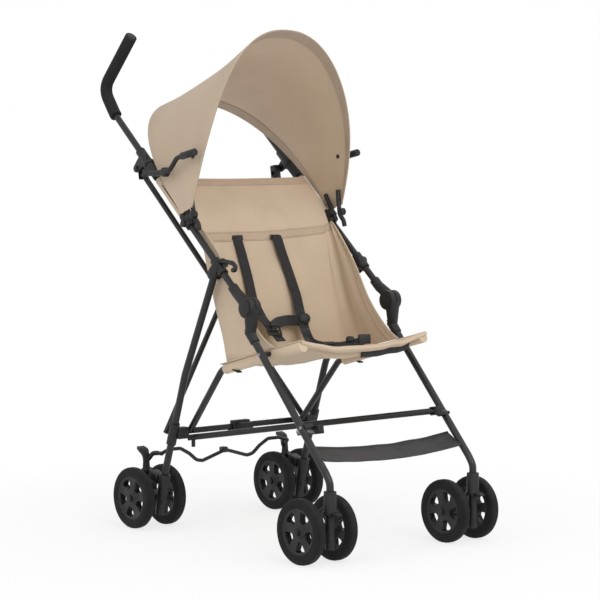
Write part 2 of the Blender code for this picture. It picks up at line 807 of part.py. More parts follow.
def lower_bar(side, letter):
    """One of the crossed bars under the seat and its two-way front knuckle."""
    run = Vector((0, *(BAR_REAR - BAR_FRONT))).normalized()
    normal = Vector((0, -run.z, run.y))
    shift = side * normal * (CROSS_R + GAP)
    front = at(side, 0.1610, BAR_FRONT) + shift
    rear = at(-side, 0.1460, BAR_REAR) + shift
    reach = (rear - front).normalized()
    body = as_mesh(tube([front - reach * 0.0045, rear - reach * 0.0180], CROSS_R))
    hole = bar(front - normal * 0.02, front + normal * 0.02, PIN_R + GAP, 8)
    node(combined(body, (), [hole]), f"lower_bar_{letter}", front, PAINT)

    centre = front - run * 0.004
    hex_block = block(centre, (0.0150, 0.0240, 0.0180), normal, 0.0015)
    slot = block(front + run * 0.0120, (0.04, 0.0400, 2 * CROSS_R + 2 * GAP), normal)
    trimmed = as_mesh(combined(hex_block, (), [slot]))
    pin = bar(front - normal * 0.0085, front + normal * 0.0085, PIN_R, 8)
    hub = bar(at(side, 0.1680, BAR_FRONT), at(side, 0.1705, BAR_FRONT), 0.0045, 12)
    peg = bar(at(side, 0.1680, BAR_FRONT), at(side, 0.1840, BAR_FRONT), PIN_R, 8)
    node(
        combined(trimmed, [pin, hub, peg]),
        f"lower_knuckle_{letter}",
        at(side, 0.1710, BAR_FRONT),
        PLASTIC,
    )


def rear_bar(side, letter):
    """Half of the flat crossbar between the rear legs."""
    low_y = 0.2040 if side < 0 else 0.2110
    z = 0.2070
    long = block(
        Vector((side * 0.0835, low_y + 0.0026, z)), (0.1810, 0.0052, 0.0120), (0, 0, 1)
    )
    eye = bar(at(side, 0.1740, (0.19, z)), at(side, 0.1740, (0.23, z)), PIN_R + GAP, 8)
    middle = []
    if side < 0:
        middle.append(bar((0, low_y + 0.004, z), (0, 0.2085, z), 0.004, 12))
    node(
        combined(long, middle, [eye]), f"rear_bar_{letter}", at(side, 0.1740, (0.2100, z)), PAINT
    )


def bar_lock():
    """The foot latch at the middle of the rear crossbar."""
    z = 0.2070
    body = block((0.0, 0.1990, z + 0.0015), (0.0300, 0.0060, 0.0130), (0, 0, 1), 0.0015)
    pad = block((0.0, 0.1900, z + 0.0070), (0.0300, 0.0160, 0.0030), (0, 0, 1), 0.001)
    node(combined(body, [pad]), "bar_lock", (0.0, 0.2020, z), PLASTIC)


def hood_stays(side, letter):
    """The folding stay that pushes the front bow out: a rear link and a front link."""
    rear = arm(STAY_PIVOT, 0.0060, STAY_ELBOW, 0.0060, side * 0.2153, side * 0.2183)
    eye = bar(at(side, 0.20, STAY_PIVOT), at(side, 0.23, STAY_PIVOT), PIN_R + GAP, 8)
    disc = bar(at(side, 0.2153, STAY_ELBOW), at(side, 0.2188, STAY_ELBOW), 0.0085, 12)
    elbow_pin = bar(at(side, 0.2170, STAY_ELBOW), at(side, 0.2228, STAY_ELBOW), 0.0025, 12)
    node(
        combined(rear, [disc, elbow_pin], [eye]),
        f"hood_stay_rear_{letter}",
        at(side, 0.2170, STAY_PIVOT),
        PLASTIC,
    )
    front = arm(STAY_ELBOW, 0.0070, STAY_FRONT, 0.0050, side * 0.2191, side * 0.2221)
    hole = bar(at(side, 0.20, STAY_ELBOW), at(side, 0.23, STAY_ELBOW), 0.0028, 12)
    node(
        combined(front, (), [hole]),
        f"hood_stay_front_{letter}",
        at(side, 0.2206, STAY_ELBOW),
        PLASTIC,
    )


def arch(angle, half_width, foot, apex, width_power, rise_power, bulge):
    """A point of a hood bow, from one foot (0) over its top to the other (pi)."""
    turn, lift = math.cos(angle), max(math.sin(angle), 0.0)
    x = half_width * math.copysign(abs(turn) ** width_power, turn)
    foot, apex = Vector(foot), Vector(apex)
    ahead = Vector((foot.y - apex.y, apex.x - foot.x)).normalized()
    rise = lift**rise_power
    place = foot.lerp(apex, rise) + ahead * (bulge * math.sin(math.pi * rise))
    return Vector((x, *place))


FRONT_BOW = (0.2055, (0.1160, 0.6840), (0.0598, 1.0518), 0.875, 0.896, 0.0180)
REAR_BOW = (0.2035, (0.1450, 0.6699), (0.3915, 0.9105), 0.814, 0.824, 0.0)


def hood_bow():
    """The front bow of the hood, a flat springy hoop, with its two feet."""
    half_width, foot, apex, width_power, rise_power, bulge = FRONT_BOW
    foot, apex = Vector(foot), Vector(apex)
    rise = (apex - foot).length
    outer, inner = [], []
    steps = 24
    for i in range(steps + 1):
        angle = math.pi * i / steps
        turn, lift = math.cos(angle), max(math.sin(angle), 0.0)
        spread = math.copysign(abs(turn) ** width_power, turn)
        outer.append((half_width * spread, rise * lift**rise_power))
        inner.append(((half_width - 0.003) * spread, (rise - 0.003) * lift**rise_power))
    hoop = as_mesh(flat_curve([*outer, *reversed(inner)], 0.0110))
    for vertex in hoop.data.vertices:
        share = min(max(vertex.co.y / rise, 0.0), 1.0)
        vertex.co.z += bulge * math.sin(math.pi * share)
    up = Vector((0, *(apex - foot))).normalized()
    across = Vector((1, 0, 0))
    hoop.matrix_basis = Matrix.Translation(Vector((0, *foot))) @ Matrix(
        (across, up, across.cross(up))
    ).transposed().to_4x4()
    hoop = as_mesh(hoop)
    feet = []
    for _, side in SIDES:
        feet.append(
            arm(foot + Vector((-0.002, 0.008)), 0.0080, HOOD_PIVOT, 0.0080, side * 0.2045, side * 0.2078)
        )
    node(combined(hoop, feet), "hood_bow", (0, *HOOD_PIVOT), FABRIC)


def canopy():
    """The hood cloth, stretched from the front bow to its rear hem with a shallow saddle between."""
    lead = Vector((0, 0.0130, 0.0022))

    def place(u, v):
        angle = math.pi * (u + 1) / 2
        start = arch(angle, *FRONT_BOW) + lead
        start.x *= (FRONT_BOW[0] - 0.0015) / FRONT_BOW[0]
        t = (v + 1) / 2
        point = start.lerp(arch(angle, *REAR_BOW), t)
        point.z -= 0.016 * math.sin(math.pi * t) * max(math.sin(angle), 0.0) ** 1.5
        return point

    cloth = sheet(20, 7, place, 0.0020)
    node(cloth, "canopy", (0, *STAY_PIVOT), FABRIC)


def seat():
    """The sling seat: a back hung between the handles, a base between the rails, and side wings."""
    line = [
        Vector((0.2380, 0.7600)),
        Vector((0.1850, 0.7060)),
        Vector((0.1120, 0.6330)),
        Vector((0.0860, 0.5400)),
        Vector((0.0620, 0.4300)),
        Vector((0.0440, 0.3850)),
        Vector((0.0000, 0.3850)),
        Vector((-0.1000, 0.4120)),
        Vector((-0.1850, 0.4310)),
        Vector((-0.1960, 0.4260)),
    ]
    widths = [0.1835, 0.1835, 0.1810, 0.1720, 0.1680, 0.1660, 0.1660, 0.1660, 0.1660, 0.1650]
    sags = [0.004, 0.010, 0.016, 0.020, 0.016, 0.010, 0.010, 0.010, 0.003, 0.001]

    def place(u, v):
        t = (v + 1) / 2 * (len(line) - 1)
        i = min(int(t), len(line) - 2)
        part = t - i
        point = line[i].lerp(line[i + 1], part)
        width = widths[i] + (widths[i + 1] - widths[i]) * part
        sag = (sags[i] + (sags[i + 1] - sags[i]) * part) * (1 - u * u)
        push = min(1.0, max(0.0, (t - 4.0) / 1.5))
        return Vector((u * width, point.x + sag * (1 - push), point.y - sag * push))

    sling = sheet(8, 16, place, 0.0030)
    wings = []
    for _, side in SIDES:
        outline = [
            (0.1120, 0.6200),
            (0.0870, 0.5440),
            (0.0600, 0.4300),
            (0.0440, 0.3850),
            (0.0000, 0.3850),
            (-0.0850, 0.4070),
            (-0.0400, 0.4450),
            (0.0150, 0.5100),
        ]
        wings.append(plate(outline, side * 0.1643, side * 0.1673))
    node(combined(sling, wings), "seat_sling", (0, 0.06, 0.40), FABRIC)


def harness():
    """Two shoulder straps, a waist strap and a crotch strap that meet at the buckle."""
    shoulder = [(0.1350, 0.6450), (0.0980, 0.5750), (0.0600, 0.4900), (0.0200, 0.4300), (-0.0180, 0.4140)]
    straps = []
    for side in (-1, 1):
        path = [Vector((side * (0.045 - 0.009 * i), y - 0.004, z)) for i, (y, z) in enumerate(shoulder)]
        straps.append(ribbon(path, 0.025, 0.0024))
    waist = [Vector((x, -0.0180 + 0.5 * x * x, 0.4120)) for x in (-0.13, -0.07, 0.0, 0.07, 0.13)]
    straps.append(ribbon(waist, 0.025, 0.0024))
    crotch = [Vector((0, y, z)) for y, z in ((-0.0100, 0.4140), (-0.0500, 0.4160), (-0.1000, 0.4150))]
    straps.append(ribbon(crotch, 0.025, 0.0024))
    buckle = block((0, -0.0180, 0.4150), (0.0500, 0.0400, 0.0120), (0, 0, 1), 0.002)
    node(combined(buckle, straps), "harness", (0, -0.018, 0.415), WEBBING)


def footrest():
    """The calf strap slung between the front legs."""

    def place(u, v):
        t = (v + 1) / 2
        sag = 0.014 * (1 - u * u)
        spread = 0.1840 if abs(u) < 0.99 else 0.1840
        return Vector((u * spread, -0.2470 - 0.0400 * t - 0.3 * sag, 0.2430 - 0.0440 * t - sag))

    node(sheet(10, 3, place, 0.0026), "footrest_strap", (0, -0.267, 0.222), WEBBING)


for letter, side in SIDES:
    handle(side, letter)
    pivot_bracket(side, letter)
    front_hinge(side, letter)
    front_leg(side, letter)
    caster(side, letter)
    rear_leg(side, letter)
    brake(side, letter)
    seat_rail(side, letter)
    cross_member(side, letter)
    lower_bar(side, letter)
    rear_bar(side, letter)
    hood_stays(side, letter)
bar_lock()
hood_bow()
canopy()
seat()
harness()
footrest()
base.location = (0, FRAME_Y, 0)
print("nodes", sum(1 for o in model.objects if o.type != "EMPTY"))
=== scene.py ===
"""Looks of a lightweight folding stroller: foam-tyred twin wheels, black tubes, sling seat and sun hood."""

import json
import math

import bpy
from mathutils import Matrix, Vector, noise

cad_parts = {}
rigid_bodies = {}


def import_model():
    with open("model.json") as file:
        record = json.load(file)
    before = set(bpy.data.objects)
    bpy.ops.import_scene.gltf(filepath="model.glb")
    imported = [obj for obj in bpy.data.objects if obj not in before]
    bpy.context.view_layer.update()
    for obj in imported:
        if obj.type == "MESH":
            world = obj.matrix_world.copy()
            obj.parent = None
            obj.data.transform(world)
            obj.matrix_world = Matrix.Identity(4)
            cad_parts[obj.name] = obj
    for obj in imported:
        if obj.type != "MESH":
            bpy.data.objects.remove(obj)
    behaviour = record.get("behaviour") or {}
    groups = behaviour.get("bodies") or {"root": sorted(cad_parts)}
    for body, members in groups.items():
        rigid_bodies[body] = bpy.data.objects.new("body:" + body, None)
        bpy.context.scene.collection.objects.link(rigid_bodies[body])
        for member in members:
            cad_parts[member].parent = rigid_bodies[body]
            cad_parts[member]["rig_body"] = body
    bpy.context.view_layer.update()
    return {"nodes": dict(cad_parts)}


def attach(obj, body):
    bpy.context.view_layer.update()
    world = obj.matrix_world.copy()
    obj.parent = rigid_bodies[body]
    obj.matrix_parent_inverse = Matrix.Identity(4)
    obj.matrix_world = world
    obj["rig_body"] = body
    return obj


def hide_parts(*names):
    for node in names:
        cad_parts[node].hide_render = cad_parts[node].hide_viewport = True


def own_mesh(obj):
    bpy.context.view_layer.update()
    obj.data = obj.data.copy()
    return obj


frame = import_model()

# Driving dimensions in metres; a place is (y, z), with y from the middle of the wheelbase
FRAME_Y = -0.0494
SIDE_X = 0.193
HANDLE_R = 0.007
LEG_R = 0.0075
CROSS_R = 0.006
LOWER_BAR_R = 0.0064
LAYER = 0.0063
GRIP_R = 0.013
FITTING_R = 0.005
THREAD_R = 0.0005
GRIP_TOP = Vector((0.334, 1.043))
GRIP_ELBOW = Vector((0.436, 0.935))
GRIP_LOW = Vector((0.395, 0.88))
TUBE_END = Vector((-0.017, 0.521))
LEG_PIVOT = Vector((0.047, 0.548))
HINGE = Vector((-0.071, 0.485))
FRONT_LEG_TOP = Vector((-0.0609, 0.4433))
FRONT_LEG_BEND = Vector((-0.3, 0.178))
STEM_Y = -0.313
REAR_LEG_BEND = Vector((0.148, 0.335))
REAR_LEG_END = Vector((0.2245, 0.104))
CROSS_TOP = Vector((0.3056, 0.749))
CROSS_LOW = Vector((0.2165, 0.206))
RAIL_BEND = Vector((0.064, 0.35))
RAIL_FRONT = Vector((-0.19, 0.415))
STUD = Vector((-0.105, 0.394))
BAR_FRONT = Vector((-0.2335, 0.26))
BAR_REAR = Vector((0.182, 0.19))
STAY_PIVOT = Vector((0.25, 0.754))
STAY_ELBOW = Vector((0.18, 0.756))
STAY_FRONT = Vector((0.112, 0.79))
REAR_STAY_X = 0.2168
FRONT_STAY_X = 0.2218
HOOD_PIVOT = Vector((0.137, 0.65))
AXLES = (("front", -0.275), ("rear", 0.275))
WHEEL_R = 0.065
PAIR_HALF = 0.041
AXLE_HALF = 0.053
SIDES = (("r", -1), ("l", 1))
TUBE_DIR = (TUBE_END - GRIP_LOW).normalized()
TUBE_UP = Vector((TUBE_DIR.y, -TUBE_DIR.x))
MERGE = 0.00002


def at(side, x, place):
    """A point from a side, a distance off the middle and a (y, z) place."""
    return Vector((side * x, place[0] + FRAME_Y, place[1]))


def beside(side, places, x=SIDE_X):
    """Points of one side at the same distance off the middle, from (y, z) places."""
    return [at(side, x, place) for place in places]


def spots(side, points):
    """Points of one side from (x, y, z) values, x counted off the middle."""
    return [at(side, x, (y, z)) for x, y, z in points]


def along_handle(distance, up=0.0):
    """A (y, z) place down the handle tube from the grip, and square off it."""
    return GRIP_LOW + TUBE_DIR * distance + TUBE_UP * up


def along_rail(share):
    """A (y, z) place on the seat rail, from its bend (0) to its front end (1)."""
    return RAIL_BEND + (RAIL_FRONT - RAIL_BEND) * share


def side_body(side):
    return "right_frame" if side < 0 else "left_frame"


def body_of(node):
    return frame["nodes"][node]["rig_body"]


def deselect():
    if bpy.context.object and bpy.context.object.mode != "OBJECT":
        to_mode("OBJECT")
    bpy.ops.object.select_all(action="DESELECT")


def only(piece):
    deselect()
    piece.select_set(True)
    bpy.context.view_layer.objects.active = piece


def to_mode(mode):
    bpy.ops.object.mode_set(mode=mode)


def edit_all():
    """Edit mode with the whole of the active mesh selected."""
    to_mode("EDIT")
    bpy.ops.mesh.select_all(action="SELECT")


def applied(piece, kind, **settings):
    """One modifier with its settings, applied."""
    only(piece)
    modifier = piece.modifiers.new(kind.lower(), kind)
    for name, value in settings.items():
        setattr(modifier, name, value)
    bpy.ops.object.modifier_apply(modifier=modifier.name)
    return piece


def eased(piece, width, segments=2, degrees=50):
    """The piece with its sharp edges rounded off."""
    limit = math.radians(degrees)
    return applied(piece, "BEVEL", width=width, segments=segments, limit_method="ANGLE", angle_limit=limit)


def smooth(piece, degrees=40):
    only(piece)
    bpy.ops.object.shade_smooth_by_angle(angle=math.radians(degrees))
    return piece


def outward(piece, merge=0.0):
    """Every face of the active piece turned outward, once points closer than merge are joined."""
    edit_all()
    if merge:
        bpy.ops.mesh.remove_doubles(threshold=merge)
    bpy.ops.mesh.normals_make_consistent(inside=False)
    to_mode("OBJECT")
    return piece


def picked(piece, test):
    """Edit mode, with just the faces that pass the test selected."""
    only(piece)
    to_mode("EDIT")
    bpy.ops.mesh.select_all(action="DESELECT")
    to_mode("OBJECT")
    for face in piece.data.polygons:
        face.select = test(face)
    to_mode("EDIT")
    bpy.ops.mesh.select_mode(type="FACE")


def joined(pieces):
    deselect()
    for piece in pieces:
        piece.select_set(True)
    bpy.context.view_layer.objects.active = pieces[0]
    if len(pieces) > 1:
        bpy.ops.object.join()
    return bpy.context.object


def dressed(piece, name, material, body, stands_for=()):
    """A finished piece named, coloured and fixed to the body that carries it."""
    piece.name = name
    piece.data.name = name
    if material is not None:
        piece.data.materials.clear()
        piece.data.materials.append(material)
    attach(piece, body)
    if stands_for:
        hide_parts(*stands_for)
    return piece


def finished(pieces, node, material):
    """The pieces as one that stands for a CAD node and rides on its body."""
    return dressed(joined(pieces), f"{node}_finish", material, body_of(node), [node])


# Materials


def feed(tree, socket, value):
    """A socket linked from another socket, or set to a value."""
    if isinstance(value, bpy.types.NodeSocket):
        tree.links.new(value, socket)
    else:
        socket.default_value = value


def put(tree, kind, **inputs):
    """One shader node with its inputs linked or set."""
    added = tree.nodes.new(kind)
    for name, value in inputs.items():
        feed(tree, added.inputs[name.replace("_", " ")], value)
    return added


def grouped(tree, group, **inputs):
    """The outputs of a node group, with its inputs linked or set."""
    added = tree.nodes.new("ShaderNodeGroup")
    added.node_tree = group
    for name, value in inputs.items():
        feed(tree, added.inputs[name], value)
    return added.outputs


def noise_of(tree, place, scale, **more):
    return put(tree, "ShaderNodeTexNoise", Vector=place, Scale=scale, **more).outputs[0]


def scaled(tree, value, from_low, from_high, to_low, to_high):
    ends = {"From_Min": from_low, "From_Max": from_high, "To_Min": to_low, "To_Max": to_high}
    return put(tree, "ShaderNodeMapRange", Value=value, **ends).outputs["Result"]


def math_of(tree, kind, first, second):
    made = tree.nodes.new("ShaderNodeMath")
    made.operation = kind
    feed(tree, made.inputs[0], first)
    feed(tree, made.inputs[1], second)
    return made.outputs[0]


def colour_between(tree, factor, first, second):
    made = tree.nodes.new("ShaderNodeMix")
    made.data_type = "RGBA"
    for index, value in ((0, factor), (6, first), (7, second)):
        feed(tree, made.inputs[index], (*value, 1.0) if isinstance(value, tuple) else value)
    return made.outputs[2]


def shader_group(name, inputs, outputs):
    """An empty node group with its sockets, which are numbers but for the one called Vector."""
    tree = bpy.data.node_groups.new(name, "ShaderNodeTree")
    for labels, way in ((inputs, "INPUT"), (outputs, "OUTPUT")):
        for label in labels:
            kind = "NodeSocketVector" if label == "Vector" else "NodeSocketFloat"
            tree.interface.new_socket(label, in_out=way, socket_type=kind)
    start = tree.nodes.new("NodeGroupInput").outputs
    return tree, start, tree.nodes.new("NodeGroupOutput").inputs


def surface_grain():
    """Fine moulded or sprayed grain, with the slow unevenness under it."""
    tree, start, end = shader_group("surface_grain", ("Vector", "Scale"), ("Height", "Cloud"))
    place = start["Vector"]
    feed(tree, end["Height"], noise_of(tree, place, start["Scale"], Detail=2.0, Roughness=0.6))
    feed(tree, end["Cloud"], noise_of(tree, place, 26.0, Detail=3.0))
    return tree


def rubbed_wear():
    """Sparse pale rubs and fine dust, strongest on faces that look up."""
    tree, start, end = shader_group("rubbed_wear", ("Vector", "Amount"), ("Rub", "Dust"))
    place = start["Vector"]
    streaks = noise_of(tree, place, 90.0, Detail=5.0, Roughness=0.7)
    rub = scaled(tree, streaks, 0.62, 0.78, 0.0, 1.0)
    feed(tree, end["Rub"], math_of(tree, "MULTIPLY", rub, start["Amount"]))
    surface = tree.nodes.new("ShaderNodeNewGeometry").outputs
    facing = put(tree, "ShaderNodeSeparateXYZ", Vector=surface["Normal"]).outputs["Z"]
    upward = scaled(tree, facing, 0.2, 1.0, 0.0, 1.0)
    patches = scaled(tree, noise_of(tree, place, 140.0, Detail=4.0), 0.4, 0.75, 0.0, 1.0)
    feed(tree, end["Dust"], math_of(tree, "MULTIPLY", patches, upward))
    return tree


def plain_weave():
    """Over and under threads of a plain woven cloth, in thread counts along both ways of its own map."""
    tree, start, end = shader_group("plain_weave", ("Vector",), ("Height", "Thread"))
    way = put(tree, "ShaderNodeSeparateXYZ", Vector=start["Vector"]).outputs
    turns = [math_of(tree, "MULTIPLY", way[axis], 2 * math.pi) for axis in "XY"]
    across, along = (math_of(tree, "SINE", turn, 0.0) for turn in turns)
    crossing = math_of(tree, "MULTIPLY", across, along)
    feed(tree, end["Height"], scaled(tree, crossing, -1.0, 1.0, 0.0, 1.0))
    feed(tree, end["Thread"], noise_of(tree, start["Vector"], 0.35, Detail=3.0))
    return tree


def cloth_creases():
    """Soft creases and puckers in stretched cloth."""
    tree, start, end = shader_group("cloth_creases", ("Vector", "Scale"), ("Height",))
    look = {"Detail": 3.0, "Roughness": 0.45, "Distortion": 0.8}
    feed(tree, end["Height"], noise_of(tree, start["Vector"], start["Scale"], **look))
    return tree


GRAIN = surface_grain()
WEAR = rubbed_wear()
WEAVE = plain_weave()
CREASES = cloth_creases()


def new_material(name):
    material = bpy.data.materials.new(name)
    material.use_nodes = True
    tree = material.node_tree
    return material, tree, tree.nodes["Principled BSDF"]


def hard_finish(name, colour, worn, dusty, rough, grain, depth, rub, specular, metallic=0.0):
    """A hard finish with grain, slow unevenness, rubs and dust."""
    material, tree, shader = new_material(name)
    place = tree.nodes.new("ShaderNodeTexCoord").outputs["Object"]
    texture = grouped(tree, GRAIN, Vector=place, Scale=grain)
    wear = grouped(tree, WEAR, Vector=place, Amount=rub)
    tone = colour_between(tree, wear["Rub"], colour, worn)
    dust = math_of(tree, "MULTIPLY", wear["Dust"], 0.35)
    bump = put(tree, "ShaderNodeBump", Height=texture["Height"], Strength=depth, Distance=0.0003)
    for label, value in (
        ("Base Color", colour_between(tree, dust, tone, dusty)),
        ("Roughness", scaled(tree, texture["Cloud"], 0.3, 0.7, rough - 0.06, rough + 0.08)),
        ("Normal", bump.outputs[0]),
        ("Specular IOR Level", specular),
        ("Metallic", metallic),
    ):
        feed(tree, shader.inputs[label], value)
    return material


def cloth_finish(
    name, light, dark, threads, depth, crease_scale, crease_depth, rough=0.9, sheen=0.15, specular=0.2
):
    """A woven cloth: threads, uneven dye and soft creases, on its own map."""
    material, tree, shader = new_material(name)
    own = tree.nodes.new("ShaderNodeTexCoord").outputs
    counted = put(tree, "ShaderNodeMapping", Vector=own["UV"], Scale=(*threads, 1.0))
    weave = grouped(tree, WEAVE, Vector=counted.outputs[0])
    folds = grouped(tree, CREASES, Vector=own["Object"], Scale=crease_scale)
    mottle = math_of(tree, "MULTIPLY", noise_of(tree, own["Object"], 9.0, Detail=4.0), 0.55)
    tone = math_of(tree, "ADD", mottle, math_of(tree, "MULTIPLY", weave["Thread"], 0.45))
    tone = scaled(tree, tone, 0.38, 0.62, 0.0, 1.0)
    soft = put(tree, "ShaderNodeBump", Height=folds["Height"], Strength=crease_depth, Distance=0.01)
    raised = {"Height": weave["Height"], "Strength": depth, "Normal": soft.outputs[0]}
    woven = put(tree, "ShaderNodeBump", Distance=0.0004, **raised)
    for label, value in (
        ("Base Color", colour_between(tree, tone, dark, light)),
        ("Roughness", scaled(tree, weave["Height"], 0.0, 1.0, rough - 0.05, rough + 0.05)),
        ("Normal", woven.outputs[0]),
        ("Sheen Weight", sheen),
        ("Sheen Roughness", 0.4),
        ("Specular IOR Level", specular),
    ):
        feed(tree, shader.inputs[label], value)
    return material


# Each hard finish: colour, worn colour, dust colour, then roughness, grain scale and depth, rubs and specular
PAINT = hard_finish(
    "satin_black_paint",
    (0.0086, 0.0086, 0.0094), (0.05, 0.05, 0.052), (0.05, 0.047, 0.043),
    0.36, 900.0, 0.25, 0.3, 0.45,
)
MOULDED = hard_finish(
    "moulded_black_plastic",
    (0.0097, 0.0097, 0.0105), (0.06, 0.06, 0.06), (0.06, 0.056, 0.05),
    0.5, 1500.0, 0.5, 0.5, 0.4,
)
HUB = hard_finish(
    "wheel_plastic",
    (0.01, 0.01, 0.0105), (0.07, 0.07, 0.07), (0.07, 0.065, 0.06),
    0.52, 1200.0, 0.4, 0.6, 0.4,
)
TYRE = hard_finish(
    "tyre_foam",
    (0.0085, 0.0085, 0.009), (0.06, 0.06, 0.06), (0.09, 0.085, 0.078),
    0.78, 1400.0, 1.0, 0.8, 0.3,
)
GRIP = hard_finish(
    "grip_foam",
    (0.015, 0.015, 0.015), (0.04, 0.04, 0.04), (0.04, 0.04, 0.04),
    0.85, 1300.0, 1.4, 0.5, 0.3,
)
STEEL = hard_finish(
    "rivet_steel",
    (0.28, 0.28, 0.29), (0.45, 0.45, 0.46), (0.2, 0.2, 0.2),
    0.35, 800.0, 0.2, 0.6, 0.5, 0.9,
)

# Each cloth: light and dark dye, threads both ways, then thread depth, crease scale and crease depth
HOOD = cloth_finish(
    "hood_cloth", (0.6, 0.475, 0.355), (0.55, 0.435, 0.32), (620, 520), 0.35, 11.0, 0.22
)
LINING = cloth_finish(
    "hood_lining", (0.53, 0.355, 0.225), (0.48, 0.32, 0.2), (620, 520), 0.35, 11.0, 0.25
)
HEM = cloth_finish(
    "hem_binding", (0.46, 0.36, 0.278), (0.4, 0.315, 0.238), (620, 30), 0.5, 30.0, 0.3
)
SEAT = cloth_finish(
    "seat_cloth", (0.66, 0.525, 0.385), (0.6, 0.47, 0.34), (520, 900), 0.4, 10.0, 0.35
)
HEM_SEAT = cloth_finish(
    "seat_binding", (0.58, 0.445, 0.325), (0.52, 0.395, 0.285), (520, 30), 0.5, 30.0, 0.3
)
WEBBING = cloth_finish(
    "black_webbing", (0.02, 0.02, 0.021), (0.012, 0.012, 0.013), (14, 260), 0.9, 40.0, 0.1, 0.7, 0.2, 0.35
)
CALF = cloth_finish(
    "calf_strap_cloth", (0.019, 0.0175, 0.018), (0.016, 0.015, 0.016), (380, 44),
    0.6, 25.0, 0.25, 0.32, 0.0, 0.6,
)
THREAD = cloth_finish(
    "seam_thread", (0.5, 0.39, 0.28), (0.44, 0.34, 0.24), (30, 2), 0.3, 40.0, 0.1
)

# Shapes used by several pieces


def rounded(points, radius, steps):
    """The points of a path with each corner turned into an arc."""
    points = [Vector(p) for p in points]
    path = [points[0]]
    for before, corner, after in zip(points, points[1:], points[2:]):
        to_before = (before - corner).normalized()
        to_after = (after - corner).normalized()
        turn = to_before.angle(to_after)
        if turn > math.pi - 0.01:
            path.append(corner)
            continue
        room = min((before - corner).length * 0.45, (after - corner).length * 0.45)
        reach = min(radius / math.tan(turn / 2), room)
        start = corner + to_before * reach
        end = corner + to_after * reach
        for i in range(steps + 1):
            t = i / steps
            path.append(start * (1 - t) ** 2 + corner * 2 * t * (1 - t) + end * t * t)
    path.append(points[-1])
    return path


def tube(points, radius, resolution=8, edge=0.0):
    """A round tube along a path, its ends closed and slightly rounded."""
    deselect()
    bpy.ops.curve.primitive_nurbs_path_add()
    curve = bpy.context.object
    curve.location = (0, 0, 0)
    curve.data.splines.clear()
    line = curve.data.splines.new("POLY")
    line.points.add(len(points) - 1)
    for point, place in zip(line.points, points):
        point.co = (*place, 1.0)
    curve.data.dimensions = "3D"
    curve.data.bevel_depth = radius
    curve.data.bevel_resolution = resolution
    curve.data.use_fill_caps = True
    only(curve)
    bpy.ops.object.convert(target="MESH")
    made = outward(bpy.context.object, MERGE)
    if edge:
        eased(made, edge)
    return smooth(made)


def round_solid(way, **settings):
    """A cone or cylinder that looks along way, with its place put into its mesh."""
    deselect()
    bpy.ops.mesh.primitive_cone_add(rotation=way.to_track_quat("Z", "Y").to_euler(), **settings)
    bpy.ops.object.transform_apply(location=True, rotation=True, scale=True)
    return bpy.context.object


def bar(start, end, radius, sides=24, edge=0.0006, far_radius=None, segments=2):
    """A short round bar with softened ends, tapered where its far end has another radius."""
    start, end = Vector(start), Vector(end)
    place = {"depth": (end - start).length, "location": (start + end) / 2}
    made = round_solid(end - start, vertices=sides, radius1=radius, radius2=far_radius or radius, **place)
    return smooth(eased(made, edge, segments))


def taper(start, end, start_radius, end_radius):
    """A round bar that narrows from one end to the other."""
    return bar(start, end, start_radius, 32, 0.001, end_radius, 3)


def pin(side, near_x, far_x, place, *size):
    """A bar that runs square off the side, at a (y, z) place."""
    return bar(at(side, near_x, place), at(side, far_x, place), *size)


def button(centre, way, radius, height):
    """A low domed rivet head: a disc whose outer face is inset and raised."""
    centre, way = Vector(centre), Vector(way).normalized()
    place = {"depth": height, "location": centre + way * height / 2}
    made = round_solid(way, vertices=20, radius1=radius, radius2=radius, **place)
    picked(made, lambda face: face.normal.dot(way) > 0.9)
    bpy.ops.mesh.inset(thickness=radius * 0.35, depth=height * 0.35)
    bpy.ops.mesh.inset(thickness=radius * 0.3, depth=height * 0.12)
    to_mode("OBJECT")
    return smooth(made, 50)


def rivet(side, x, place, radius, height, way=1):
    """A button on the outer side of a place, or on its inner side."""
    return button(at(side, x, place), (side * way, 0, 0), radius, height)


def block(centre, size, up, edge):
    """A box with rounded edges, its own z turned to look along up."""
    turn = Vector(up).to_track_quat("Z", "Y").to_matrix().to_4x4()
    if abs(Vector(up).normalized().z) > 0.9999:
        turn = Matrix.Identity(4)
    deselect()
    bpy.ops.mesh.primitive_cube_add(size=1)
    made = bpy.context.object
    made.data.transform(Matrix.Translation(Vector(centre)) @ turn @ Matrix.Diagonal((*size, 1)))
    return smooth(applied(made, "BEVEL", width=edge, segments=3))


def cloth(columns, rows, place, thickness, lined=False):
    """A sheet of cloth laid over a surface, with its own map and, if lined, a second material inside."""
    deselect()
    bpy.ops.mesh.primitive_grid_add(x_subdivisions=columns, y_subdivisions=rows, size=2)
    made = bpy.context.object
    for vertex in made.data.vertices:
        vertex.co = place(vertex.co.x, vertex.co.y)
    applied(made, "SOLIDIFY", thickness=thickness, offset=0.0, material_offset=int(lined))
    return smooth(made, 60)


def strap(points, width, thickness, side_way):
    """A flat strap along a path; side_way is the way its width runs."""
    across = Vector(side_way).normalized()

    def place(u, v):
        t = (v + 1) / 2 * (len(points) - 1)
        i = min(int(t), len(points) - 2)
        return points[i].lerp(points[i + 1], t - i) + across * (u * width / 2)

    return cloth(4, 3 * (len(points) - 1), place, thickness)


def seam(points):
    """A line of thread laid on the cloth."""
    return tube(points, THREAD_R, 1)


# Rigid pieces carried over from the solids, with rounded edges

PAINTED = ("rear_bar", "seat_rail")
MOULDINGS = (
    "handle_collar",
    "cross_cap",
    "rear_pivot_bracket",
    "caster_housing",
    "swivel_lock_tab",
    "caster_fork",
    "rear_housing",
    "rear_bracket",
    "lower_knuckle",
)


